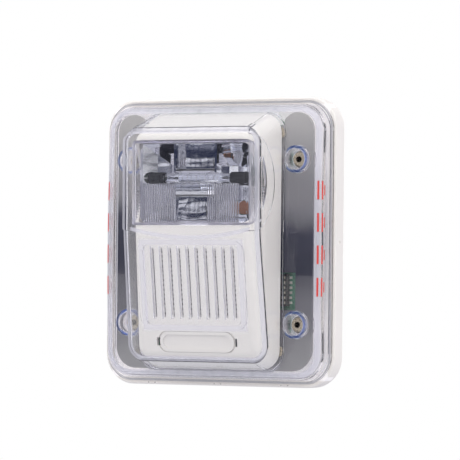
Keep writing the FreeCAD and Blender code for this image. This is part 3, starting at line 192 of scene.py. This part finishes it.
# Clear plastic. Each milk value is the share of milky plastic, from 0 to 1.
LIGHT_PASSED = (0.985, 0.98, 0.97)
MILK_COLOUR = (0.84, 0.84, 0.93)
HOOD_FROM_DEPTH = -27.0 * MM  # in front of this, a point of the cover is on its hood

# The cover's screw wells, by distance from the screw's axis.
WELL_TINT = (0.14, 0.20, 0.45)
WELL_WALL_MILK = 0.28
WELL_WALL_FROM = 5.2 * MM
WELL_WALL_TO = 5.4 * MM
SOCKET_R = 1.7 * MM
INSERT_R = 3.0 * MM

# The raised frame of the grille, its slot walls, and the curved foot of the strobe window.
GRILLE_DROP = 1.15 * MM
GRILLE_FRAME_MILK = 0.34
GRILLE_FIELD_MILK = 0.08
SLOT_WALL_MILK = 0.5
WINDOW_HALF_W = 33.5 * MM
WINDOW_FOOT_Z = 1.7 * MM
WINDOW_FOOT_RISE = 4.3 * MM
WINDOW_FOOT_MILK = 0.5

# Painted reflection on the grey plate: colour by height, a dark band across the middle, lighter above and
# below.
PLATE_PAINTED_REFLECTION = [
    # height on the plate in metres, colour
    (-0.066, (0.30, 0.30, 0.315)),
    (-0.034, (0.13, 0.13, 0.155)),
    (-0.010, (0.036, 0.038, 0.062)),
    (0.008, (0.045, 0.047, 0.075)),
    (0.026, (0.27, 0.27, 0.295)),
    (0.066, (0.50, 0.495, 0.50)),
]


def new_shader(name):
    return Shader(bpy.data.materials.new(name))


def clouded(s, light, dark):
    """A base colour that drifts between two shades, as moulded plastic does."""
    return s.mix_colour(s.ramp(s.noise(CLOUD_SCALE, 4.0), 0.0, 1.0, 0.3, 0.7), light, dark)


def spark_texture(s, strength=0.25):
    return s.bump(s.noise(SPARK_SCALE, 2.0), strength, SPARK_DEPTH)


def moulded_plastic(name, light, dark, roughness):
    """Spark-textured moulded plastic: fine grain, faint cloudiness, uneven gloss."""
    s = new_shader(name)
    gloss = s.ramp(s.noise(GLOSS_SCALE), roughness - 0.06, roughness + 0.06, 0.3, 0.7)
    return s.surface(s.principled(Base_Color=clouded(s, light, dark), Roughness=gloss,
                                  Normal=spark_texture(s), IOR=1.5))


def white_box(name):
    """The mounting box: moulded white, its inside lifted by the light the clear cover carries in."""
    s = new_shader(name)
    colour = clouded(s, (0.90, 0.872, 0.85), (0.87, 0.84, 0.815))
    gloss = s.ramp(s.noise(GLOSS_SCALE), 0.44, 0.56, 0.3, 0.7)
    _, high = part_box("back_box")
    within_x = s.math("LESS_THAN", s.math("ABSOLUTE", s.axis("X")), high.x - BOX_WALL)
    within_z = s.math("LESS_THAN", s.math("ABSOLUTE", s.axis("Z")), high.z - BOX_WALL)
    above_floor = s.math("LESS_THAN", s.axis("Y"), high.y - BOX_FLOOR)
    inside = s.math("MULTIPLY", above_floor, s.math("MULTIPLY", within_x, within_z))
    return s.surface(s.principled(Base_Color=colour, Roughness=gloss, Normal=spark_texture(s),
                                  Emission_Color=PIPED_LIGHT,
                                  Emission_Strength=s.math("MULTIPLY", inside, PIPED_STRENGTH)))


def plate_with_painted_reflection(name):
    """Grey plate with a painted reflection: darkest across the middle, with soft cloudy edges to the dark
    zone.
    """
    s = new_shader(name)
    drift = s.math("MULTIPLY", s.math("SUBTRACT", s.noise(26.0, 2.0), 0.5), 0.03)
    height = s.math("ADD", s.axis("Z"), drift)
    colour = PLATE_PAINTED_REFLECTION[0][1]
    for (below, _), (above, shade) in zip(PLATE_PAINTED_REFLECTION, PLATE_PAINTED_REFLECTION[1:]):
        colour = s.mix_colour(s.ramp(height, 0.0, 1.0, below, above, "SMOOTHSTEP"), colour, shade)
    return s.surface(s.principled(Base_Color=colour, Roughness=0.45, Normal=spark_texture(s, 0.2)))


def clear_plastic(name, tint, depth_tint, density, haze, well_tint=None):
    """Clear polycarbonate: a little wavy and scuffed, and milky lilac on its rounded edges.

    With a well_tint it is the cover, which also has tinted screw wells and a milky raised front.
    """
    s = new_shader(name)
    if well_tint:
        tint = s.mix_colour(well_ring(s), tint, well_tint)
    scuff = s.ramp(s.noise(420.0, 5.0, 0.7), 0.01, 0.025, 0.45, 0.75)
    clear = s.principled(Base_Color=tint, Roughness=scuff, IOR=1.5, Transmission_Weight=1.0,
                         Normal=s.bump(s.noise(60.0, 2.0), 0.3, 0.000004))
    milk = s.add("ShaderNodeBsdfTranslucent")
    s.put(milk.inputs["Color"], MILK_COLOUR)
    face = s.add("ShaderNodeBsdfDiffuse")
    s.put(face.inputs["Color"], MILK_COLOUR)
    milky = s.blend(0.5, face.outputs["BSDF"], milk.outputs["BSDF"])
    milkiness = s.math("MULTIPLY", rounded_edge(s), haze)
    if well_tint:
        milkiness = s.math("MAXIMUM", milkiness, s.math("MULTIPLY", well_wall(s), WELL_WALL_MILK))
        milkiness = s.math("MAXIMUM", milkiness, raised_front(s))
    clear = s.blend(milkiness, clear, milky)
    body = s.add("ShaderNodeVolumeAbsorption")
    s.put(body.inputs["Color"], depth_tint)
    s.put(body.inputs["Density"], density)
    s.tree.links.new(body.outputs["Volume"], s.output.inputs["Volume"])
    return s.light_through(clear)


def rounded_edge(s):
    """1 on outer edges, where a surface turns from facing forward to facing sideways, 0 elsewhere."""
    turn = s.math("ABSOLUTE", s.axis("Y", s.add("ShaderNodeTexCoord").outputs["Normal"]))
    past_wall = s.ramp(turn, 0.0, 1.0, 0.42, 0.6, "SMOOTHSTEP")
    before_front = s.ramp(turn, 1.0, 0.0, 0.93, 0.985, "SMOOTHSTEP")
    streak = s.ramp(s.noise(30.0, 3.0, 0.5, (6.0, 6.0, 0.5)), 0.75, 1.0, 0.3, 0.7)
    at_side = s.ramp(s.math("ABSOLUTE", s.axis("X")), 0.0, 1.0, 50.0 * MM, 53.0 * MM)
    at_end = s.ramp(s.math("ABSOLUTE", s.axis("Z")), 0.0, 1.0, 61.0 * MM, 64.0 * MM)
    at_front = s.ramp(s.axis("Y"), 1.0, 0.0, -27.0 * MM, -24.0 * MM)
    outer = s.math("MAXIMUM", at_front, s.math("MAXIMUM", at_side, at_end))
    return s.math("MULTIPLY", s.math("MULTIPLY", streak, outer), s.math("MULTIPLY", past_wall, before_front))


def well_distance(s):
    """Distance from the axis of the nearest cover screw."""
    _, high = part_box("thread_inserts")
    across = s.math("SUBTRACT", s.math("ABSOLUTE", s.axis("X")), high.x - INSERT_R)
    upright = s.math("SUBTRACT", s.math("ABSOLUTE", s.axis("Z")), high.z - INSERT_R)
    squares = s.math("ADD", s.math("MULTIPLY", across, across), s.math("MULTIPLY", upright, upright))
    return s.math("SQRT", squares)


def well_wall(s):
    """1 on the bores of the four screw wells, 0 elsewhere."""
    distance = well_distance(s)
    return s.math("MULTIPLY", s.math("GREATER_THAN", distance, WELL_WALL_FROM),
                  s.math("LESS_THAN", distance, WELL_WALL_TO))


def well_ring(s):
    """1 on the rims of the four screw wells, 0 elsewhere."""
    distance = well_distance(s)
    inside = s.ramp(distance, 0.0, 1.0, 5.5 * MM, 5.8 * MM)
    outside = s.ramp(distance, 1.0, 0.0, 6.7 * MM, 7.0 * MM)
    beside_hood = s.ramp(s.math("ABSOLUTE", s.axis("X")), 0.0, 1.0, 42.0 * MM, 43.0 * MM)
    return s.math("MULTIPLY", beside_hood, s.math("MULTIPLY", inside, outside))


def grille_milk(s):
    """Milkiness of the grille: most on its raised frame and slot walls, little between the slots."""
    low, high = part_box("insect_screen")
    middle_z = (low.z + high.z) / 2 - GRILLE_DROP
    from_middle = s.math("ABSOLUTE", s.math("SUBTRACT", s.axis("Z"), middle_z))
    past_side = s.math("SUBTRACT", s.math("ABSOLUTE", s.axis("X")), high.x)
    past_end = s.math("SUBTRACT", from_middle, (high.z - low.z) / 2)
    reach = s.math("MAXIMUM", past_side, past_end)
    field = s.ramp(reach, 1.0, 0.0, 1.4 * MM, 2.2 * MM)
    edge = s.ramp(reach, 1.0, 0.0, 4.2 * MM, 5.4 * MM)
    frame_band = s.math("MULTIPLY", s.math("SUBTRACT", edge, field), GRILLE_FRAME_MILK)
    turned = s.math("ABSOLUTE", s.axis("X", s.add("ShaderNodeTexCoord").outputs["Normal"]))
    wall = s.math("MULTIPLY", s.math("GREATER_THAN", turned, 0.8), SLOT_WALL_MILK)
    between = s.math("MULTIPLY", field, s.math("MAXIMUM", wall, GRILLE_FIELD_MILK))
    return s.math("MAXIMUM", frame_band, between)


def window_foot_milk(s):
    """Milkiness of the band along the window's bottom edge, which dips in the middle."""
    aside = s.math("ABSOLUTE", s.axis("X"))
    share = s.math("DIVIDE", aside, WINDOW_HALF_W)
    rise = s.math("MULTIPLY", s.math("MULTIPLY", share, share), WINDOW_FOOT_RISE)
    foot_z = s.math("ADD", WINDOW_FOOT_Z, rise)
    off_foot = s.math("ABSOLUTE", s.math("SUBTRACT", s.axis("Z"), foot_z))
    return s.math("MULTIPLY", s.ramp(off_foot, WINDOW_FOOT_MILK, 0.0, 0.5 * MM, 1.4 * MM),
                  s.math("LESS_THAN", aside, WINDOW_HALF_W))


def raised_front(s):
    """Milkiness of what stands up from the front of the cover's hood."""
    on_front = s.math("LESS_THAN", s.axis("Y"), HOOD_FROM_DEPTH)
    return s.math("MULTIPLY", on_front, s.math("MAXIMUM", grille_milk(s), window_foot_milk(s)))


def metal(name, light, dark, roughness, metallic=1.0):
    """Metal with fine grain, faint clouds and uneven roughness."""
    s = new_shader(name)
    grain = s.noise(900.0, 4.0, 0.6)
    colour = s.mix_colour(s.noise(120.0), light, dark)
    rough = s.ramp(grain, roughness * 0.7, roughness * 1.4, 0.3, 0.7)
    return s.surface(s.principled(Base_Color=colour, Metallic=metallic, Roughness=rough,
                                  Normal=s.bump(grain, 0.3, 0.00001)))


def screw_steel(name):
    """Yellow-passivated steel, with painted shade making it near black down in the socket."""
    s = new_shader(name)
    grain = s.noise(900.0, 4.0, 0.6)
    face = s.mix_colour(s.noise(120.0), (0.74, 0.66, 0.52), (0.50, 0.43, 0.33))
    # Painted shade: the socket is coloured near black.
    socket_shade = s.ramp(well_distance(s), 1.0, 0.0, SOCKET_R * 0.8, SOCKET_R)
    colour = s.mix_colour(socket_shade, face, (0.015, 0.014, 0.013))
    rough = s.ramp(grain, 0.2, 0.4, 0.3, 0.7)
    return s.surface(s.principled(Base_Color=colour, Metallic=0.7, Roughness=rough,
                                  Normal=s.bump(grain, 0.3, 0.00001)))


def mirror_chrome(name):
    """Vacuum-coated mirror on moulded plastic: gently wavy, so what it reflects bends into bands."""
    s = new_shader(name)
    wave = s.noise(55.0, 1.5, 0.5, (1.0, 1.0, 2.2))
    smudge = s.ramp(s.noise(300.0, 4.0), 0.02, 0.07, 0.4, 0.7)
    return s.surface(s.principled(Base_Color=(0.95, 0.955, 0.975), Metallic=1.0, Roughness=smudge,
                                  Normal=s.bump(wave, 0.35, 0.0003)))


def rubber(name, colour, worn):
    s = new_shader(name)
    dust = s.noise(300.0, 5.0, 0.65)
    normal = s.bump(s.noise(2200.0, 2.0), 0.4, 0.00003)
    return s.surface(s.principled(Base_Color=s.mix_colour(s.ramp(dust, 0.0, 1.0, 0.4, 0.8), colour, worn),
                                  Roughness=0.62, Normal=normal))


def glass_tube(name):
    s = new_shader(name)
    clear = s.principled(Base_Color=(0.96, 0.97, 1.0), Roughness=0.01, IOR=1.47, Transmission_Weight=1.0,
                         Normal=s.bump(s.noise(200.0, 2.0), 0.2, 0.00001))
    return s.light_through(clear)


def board_green(name):
    """Solder mask over copper tracks."""
    s = new_shader(name)
    tracks = s.cells(420.0, "DISTANCE_TO_EDGE")
    track = s.ramp(tracks, 1.0, 0.0, 0.02, 0.09)
    colour = s.mix_colour(track, (0.045, 0.20, 0.115), (0.07, 0.28, 0.17))
    normal = s.bump(track, 0.5, 0.00004)
    return s.surface(s.principled(Base_Color=colour, Roughness=0.35, Normal=normal, Coat_Weight=0.4,
                                  Coat_Roughness=0.15))


def winding(name, light, dark):
    """Fine enamelled wire laid in turns round the depth axis."""
    s = new_shader(name)
    turns = s.add("ShaderNodeTexWave", wave_type="BANDS", bands_direction="Y")
    s.put(turns.inputs["Vector"], s.place)
    s.put(turns.inputs["Scale"], 900.0)
    colour = s.mix_colour(turns.outputs["Fac"], dark, light)
    normal = s.bump(turns.outputs["Fac"], 0.8, 0.0001)
    return s.surface(s.principled(Base_Color=colour, Metallic=0.8, Roughness=0.35, Normal=normal))


def build_materials():
    return {
        "white_housing": white_box("white_housing"),
        "white_bezel": moulded_plastic("white_bezel", (0.90, 0.885, 0.87), (0.87, 0.855, 0.84), 0.42),
        "clear_cover": clear_plastic("clear_cover", (0.985, 0.985, 0.985), (0.4, 0.4, 0.75), 9.0, 0.55,
                                     WELL_TINT),
        "clear_lens": clear_plastic("clear_lens", (0.97, 0.97, 0.985), (0.4, 0.4, 0.75), 14.0, 0.35),
        "tube_glass": glass_tube("tube_glass"),
        "seal_rubber": rubber("seal_rubber", (0.52, 0.52, 0.56), (0.6, 0.6, 0.64)),
        "black_rubber": rubber("black_rubber", (0.008, 0.008, 0.012), (0.02, 0.02, 0.024)),
        "screw_steel": screw_steel("screw_steel"),
        "washer_steel": metal("washer_steel", (0.62, 0.58, 0.52), (0.45, 0.42, 0.38), 0.35),
        "brass": metal("brass", (0.80, 0.60, 0.28), (0.62, 0.44, 0.2), 0.3),
        "reflector_mirror": mirror_chrome("reflector_mirror"),
        "tinned_wire": metal("tinned_wire", (0.75, 0.75, 0.76), (0.6, 0.6, 0.6), 0.25),
        "copper_winding": winding("copper_winding", (0.82, 0.46, 0.28), (0.42, 0.19, 0.11)),
        "grey_plate": plate_with_painted_reflection("grey_plate"),
        "green_board": board_green("green_board"),
        "black_plastic": moulded_plastic("black_plastic", (0.035, 0.033, 0.035), (0.022, 0.022, 0.024), 0.4),
        "solder": metal("solder", (0.88, 0.85, 0.78), (0.78, 0.76, 0.7), 0.4, 0.4),
        "slider_cream": moulded_plastic("slider_cream", (0.82, 0.78, 0.66), (0.74, 0.7, 0.58), 0.45),
        "yoke_steel": metal("yoke_steel", (0.5, 0.5, 0.52), (0.38, 0.38, 0.4), 0.4),
        "ferrite": moulded_plastic("ferrite", (0.05, 0.05, 0.055), (0.035, 0.035, 0.04), 0.7),
        "diaphragm_metal": metal("diaphragm_metal", (0.66, 0.67, 0.70), (0.5, 0.5, 0.54), 0.3),
        "horn_duct": moulded_plastic("horn_duct", (0.14, 0.14, 0.15), (0.10, 0.10, 0.11), 0.45),
        "screen_metal": metal("screen_metal", (0.6, 0.6, 0.63), (0.45, 0.45, 0.48), 0.3),
        "wire_insulation": rubber("wire_insulation", (0.45, 0.03, 0.03), (0.5, 0.08, 0.07)),
        "capacitor_can": moulded_plastic("capacitor_can", (0.05, 0.06, 0.10), (0.035, 0.04, 0.07), 0.3),
        "chip_ceramic": moulded_plastic("chip_ceramic", (0.22, 0.19, 0.16), (0.12, 0.10, 0.09), 0.5),
    }


def paint_nodes(materials):
    """Each CAD node takes the material its record slot names."""
    for part in frame["record"]["subparts"]:
        mesh = nodes[part["node"]].data
        mesh.materials.clear()
        mesh.materials.append(materials[part["material_slot"]])


# ------------------------------------------------------------------ red marks on the cover's rounded sides

MARK_RED = (0.78, 0.055, 0.05)
MARK_RED_WORN = (0.66, 0.07, 0.06)
MARK_COUNT = 4
MARK_PITCH = 16.2 * MM
MARK_TOP_Z = 26.0 * MM
MARK_LENGTH = 9.4 * MM
MARK_STROKES = [
    # turn from the front in degrees, part of the length
    (30.0, 1.0),
    (52.0, 1.0),
    (70.0, 0.55),
]
MARK_STROKE_TURN = 9.0
MARK_LIFT = 0.03 * MM
MARK_THICKNESS = 0.05 * MM
EDGE_CENTRE_X = 56.7 * MM
EDGE_CENTRE_DEPTH = 13.0 * MM


def surface_point(cover, side, turn, z, lift):
    """The point of the cover's rounded side met at this turn from the front, at height z."""
    outward = Vector((side * math.sin(turn), -math.cos(turn), 0.0))
    centre = Vector((side * EDGE_CENTRE_X, -EDGE_CENTRE_DEPTH, z))
    start = centre + outward * (20.0 * MM)
    place, normal, _, _ = cover.ray_cast(start, -outward)
    return place + normal * lift


def stroke(mesh, cover, side, turn, z_middle, length):
    """One bar that follows the cover's surface: a grid of points, raised and joined to itself."""
    across = 3
    along = 10
    half_turn = math.radians(MARK_STROKE_TURN) / 2
    layers = []
    for lift in (MARK_LIFT, MARK_LIFT + MARK_THICKNESS):
        rows = []
        for row in range(along + 1):
            z = z_middle + length * (row / along - 0.5)
            turns = [turn + half_turn * (2 * column / across - 1) for column in range(across + 1)]
            rows.append([mesh.verts.new(surface_point(cover, side, spot, z, lift)) for spot in turns])
        layers.append(rows)
    inner, outer = layers
    for row in range(along):
        for column in range(across):
            for rows in layers:
                mesh.faces.new((rows[row][column], rows[row][column + 1],
                                rows[row + 1][column + 1], rows[row + 1][column]))
    rim = [(row, 0) for row in range(along)] + [(along, column) for column in range(across)]
    rim += [(row, across) for row in range(along, 0, -1)] + [(0, column) for column in range(across, 0, -1)]
    for index, (row, column) in enumerate(rim):
        next_row, next_column = rim[(index + 1) % len(rim)]
        mesh.faces.new((inner[row][column], inner[next_row][next_column],
                        outer[next_row][next_column], outer[row][column]))


def make_side_marks(side, name, ink):
    cover = BVHTree.FromObject(nodes["clear_cover"], bpy.context.evaluated_depsgraph_get())
    mesh = bmesh.new()
    for index in range(MARK_COUNT):
        z_middle = MARK_TOP_Z - index * MARK_PITCH
        for degrees, share in MARK_STROKES:
            stroke(mesh, cover, side, math.radians(degrees), z_middle, MARK_LENGTH * share)
    bmesh.ops.recalc_face_normals(mesh, faces=mesh.faces)
    data = bpy.data.meshes.new(name)
    mesh.to_mesh(data)
    mesh.free()
    data.materials.append(ink)
    piece = bpy.data.objects.new(name, data)
    bpy.context.scene.collection.objects.link(piece)
    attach(piece, "housing")


def mark_ink():
    """Red printing ink with thin worn patches."""
    s = new_shader("mark_ink")
    ink = s.mix_colour(s.noise(800.0, 3.0), MARK_RED, MARK_RED_WORN)
    return s.surface(s.principled(Base_Color=ink, Roughness=0.4))


# ------------------------------------------------------------------ studio

FLOOR_DROP = 0.17
BACKDROP_DISTANCE = 4.0
STAGE_HALF = 8.0
PAPER_GLOW = 0.72
PAPER_TINT = (0.93, 0.93, 1.0)


def stage_material(name):
    """White paper, evenly lit: the camera sees it full white, and mirrors and lenses a little dimmer."""
    s = new_shader(name)
    path = s.add("ShaderNodeLightPath")
    camera = path.outputs["Is Camera Ray"]
    fibre = s.ramp(s.noise(3.0), 0.98, 1.0)
    seen = s.math("MULTIPLY", s.ramp(camera, PAPER_GLOW, 1.0), fibre)
    glow = s.add("ShaderNodeEmission")
    s.put(glow.inputs["Color"], s.mix_colour(camera, PAPER_TINT, WHITE))
    s.put(glow.inputs["Strength"], s.math("MAXIMUM", seen, camera))
    return s.surface(glow.outputs["Emission"])


def sheet(name, corners, material):
    data = bpy.data.meshes.new(name)
    data.from_pydata(corners, [], [(0, 1, 2, 3)])
    data.materials.append(material)
    plane = bpy.data.objects.new(name, data)
    bpy.context.scene.collection.objects.link(plane)


def make_stage():
    floor_z = cad_low.z - FLOOR_DROP
    top_z = floor_z + STAGE_HALF
    far = BACKDROP_DISTANCE
    paper = stage_material("stage_paper")
    sheet("floor", [(-STAGE_HALF, -STAGE_HALF, floor_z), (STAGE_HALF, -STAGE_HALF, floor_z),
                    (STAGE_HALF, far, floor_z), (-STAGE_HALF, far, floor_z)], paper)
    sheet("backdrop", [(-STAGE_HALF, far, floor_z), (STAGE_HALF, far, floor_z),
                       (STAGE_HALF, far, top_z), (-STAGE_HALF, far, top_z)], paper)


def softbox(name, azimuth, elevation, distance, width, height, power, colour=WHITE):
    """A rectangular lamp that looks at the object. Azimuth 0 is in front, 90 on the viewer's right."""
    a, e = math.radians(azimuth), math.radians(elevation)
    away = Vector((math.sin(a) * math.cos(e), -math.cos(a) * math.cos(e), math.sin(e)))
    lamp = bpy.data.lights.new(name, "AREA")
    lamp.shape = "RECTANGLE"
    lamp.size = width
    lamp.size_y = height
    lamp.energy = power
    lamp.color = colour
    holder = bpy.data.objects.new(name, lamp)
    bpy.context.scene.collection.objects.link(holder)
    holder.location = away * distance
    holder.rotation_mode = "QUATERNION"
    holder.rotation_quaternion = away.to_track_quat("Z", "Y")
    holder.visible_glossy = False
    holder.visible_transmission = False


def make_lights():
    """Lamps for the matt parts. Shiny and clear parts see the world's soft patches in their place."""
    softbox("key_left", -38, 32, 1.6, 0.9, 1.1, 8.0, (1.0, 0.985, 0.96))
    softbox("fill_right", 78, 12, 1.5, 0.7, 1.2, 7.0, (1.0, 0.985, 0.965))
    softbox("top", 10, 78, 1.4, 1.2, 0.9, 7.0)


ROOM_DARK = (0.02, 0.026, 0.06)
ROOM_PALE = (0.90, 0.90, 0.97)
ROOM_GLANCED = (0.10, 0.105, 0.15)
ROOM_SOFT = (0.66, 0.652, 0.645)
SOFT_PATCHES = [
    # azimuth, elevation, inner and outer angle in degrees, brightness
    (-30.0, 40.0, 8.0, 26.0, 2.2),
    (-24.0, -32.0, 6.0, 18.0, 1.8),
    (-85.0, 5.0, 14.0, 30.0, 1.3),
    (-10.0, 84.0, 14.0, 34.0, 1.7),
    (60.0, 20.0, 8.0, 18.0, 1.5),
    (105.0, 5.0, 16.0, 34.0, 1.3),
    (20.0, -70.0, 8.0, 22.0, 1.2),
]
CHROME_CROSSINGS = 5.5  # what the chrome reflects leaves through more clear surfaces than this


def patch_light(s):
    """Brightness of the soft patches in the direction looked at."""
    total = 0.0
    for azimuth, elevation, inner, outer, brightness in SOFT_PATCHES:
        a, e = math.radians(azimuth), math.radians(elevation)
        facing = s.add("ShaderNodeVectorMath", operation="DOT_PRODUCT")
        s.put(facing.inputs[0], s.place)
        facing.inputs[1].default_value = (math.sin(a) * math.cos(e), -math.cos(a) * math.cos(e), math.sin(e))
        patch = s.ramp(facing.outputs["Value"], 0.0, brightness, math.cos(math.radians(outer)),
                       math.cos(math.radians(inner)), "SMOOTHSTEP")
        total = s.math("MAXIMUM", patch, total)
    return total


def make_world():
    """A room whose colour depends on the kind of ray that leaves the object.

    The camera sees white, and matt parts a soft off-white. What shows through clear parts is pale, and
    what glances off them is dim, with soft patches. Only the chrome, which is behind several clear
    surfaces, sees a dark room with bright patches and clutter.
    """
    world = bpy.data.worlds.new("studio")
    bpy.context.scene.world = world
    s = Shader(world, "ShaderNodeOutputWorld", "Generated")
    path = s.add("ShaderNodeLightPath")
    patches = patch_light(s)
    clutter = s.ramp(s.noise(6.0, 1.5, 0.5, (1.0, 1.0, 2.4)), 0.0, 1.0, 0.53, 0.59, "SMOOTHSTEP")
    patch_share = s.math("MINIMUM", patches, 1.0)
    dark_room = s.mix_colour(s.math("MAXIMUM", patch_share, clutter), ROOM_DARK, WHITE)
    reflected = s.math("GREATER_THAN", path.outputs["Glossy Depth"], 0.5)
    crossed = s.math("GREATER_THAN", path.outputs["Transmission Depth"], CHROME_CROSSINGS)
    glanced = s.mix_colour(patch_share, ROOM_GLANCED, WHITE)
    mirrored = s.math("MULTIPLY", reflected, crossed)
    colour = s.mix_colour(reflected, ROOM_PALE, glanced)
    colour = s.mix_colour(mirrored, colour, dark_room)
    colour = s.mix_colour(path.outputs["Is Diffuse Ray"], colour, ROOM_SOFT)
    colour = s.mix_colour(path.outputs["Is Camera Ray"], colour, WHITE)
    boost = s.math("MULTIPLY", mirrored, s.math("MAXIMUM", s.math("SUBTRACT", patches, 1.0), 0.0))
    room = s.add("ShaderNodeBackground")
    s.put(room.inputs["Color"], colour)
    s.put(room.inputs["Strength"], s.math("ADD", boost, 1.0))
    s.surface(room.outputs["Background"])


# ------------------------------------------------------------------ camera

CAMERA_AZIMUTH = 27.0
CAMERA_ELEVATION = -1.0
CAMERA_ROLL = 0.6
CAMERA_DISTANCE = 1.64
CAMERA_LENS = 250.0
AIM = Vector((1.6 * MM, -1.0 * MM, 6.28 * MM))


def make_camera():
    a, e = math.radians(CAMERA_AZIMUTH), math.radians(CAMERA_ELEVATION)
    back = Vector((math.sin(a) * math.cos(e), -math.cos(a) * math.cos(e), math.sin(e)))
    data = bpy.data.cameras.new("camera")
    data.lens = CAMERA_LENS
    data.sensor_width = 36.0
    data.clip_start = 0.05
    data.clip_end = 100.0
    camera = bpy.data.objects.new("camera", data)
    bpy.context.scene.collection.objects.link(camera)
    turn = (-back).to_track_quat("-Z", "Y").to_matrix().to_4x4()
    camera.matrix_world = (Matrix.Translation(AIM + back * CAMERA_DISTANCE) @ turn
                           @ Matrix.Rotation(math.radians(CAMERA_ROLL), 4, "Z"))
    bpy.context.scene.camera = camera


# ------------------------------------------------------------------ build

def set_light_paths():
    """Enough bounces for light to cross the cover, the lens and the tube."""
    scene = bpy.context.scene
    scene.view_settings.view_transform = "Standard"
    scene.cycles.max_bounces = 24
    scene.cycles.transmission_bounces = 24
    scene.cycles.glossy_bounces = 6
    scene.cycles.diffuse_bounces = 4
    scene.cycles.transparent_max_bounces = 48


paint_nodes(build_materials())
ink = mark_ink()
make_side_marks(-1, "left_marks", ink)
make_side_marks(1, "right_marks", ink)
make_stage()
make_lights()
make_world()
make_camera()
set_light_paths()
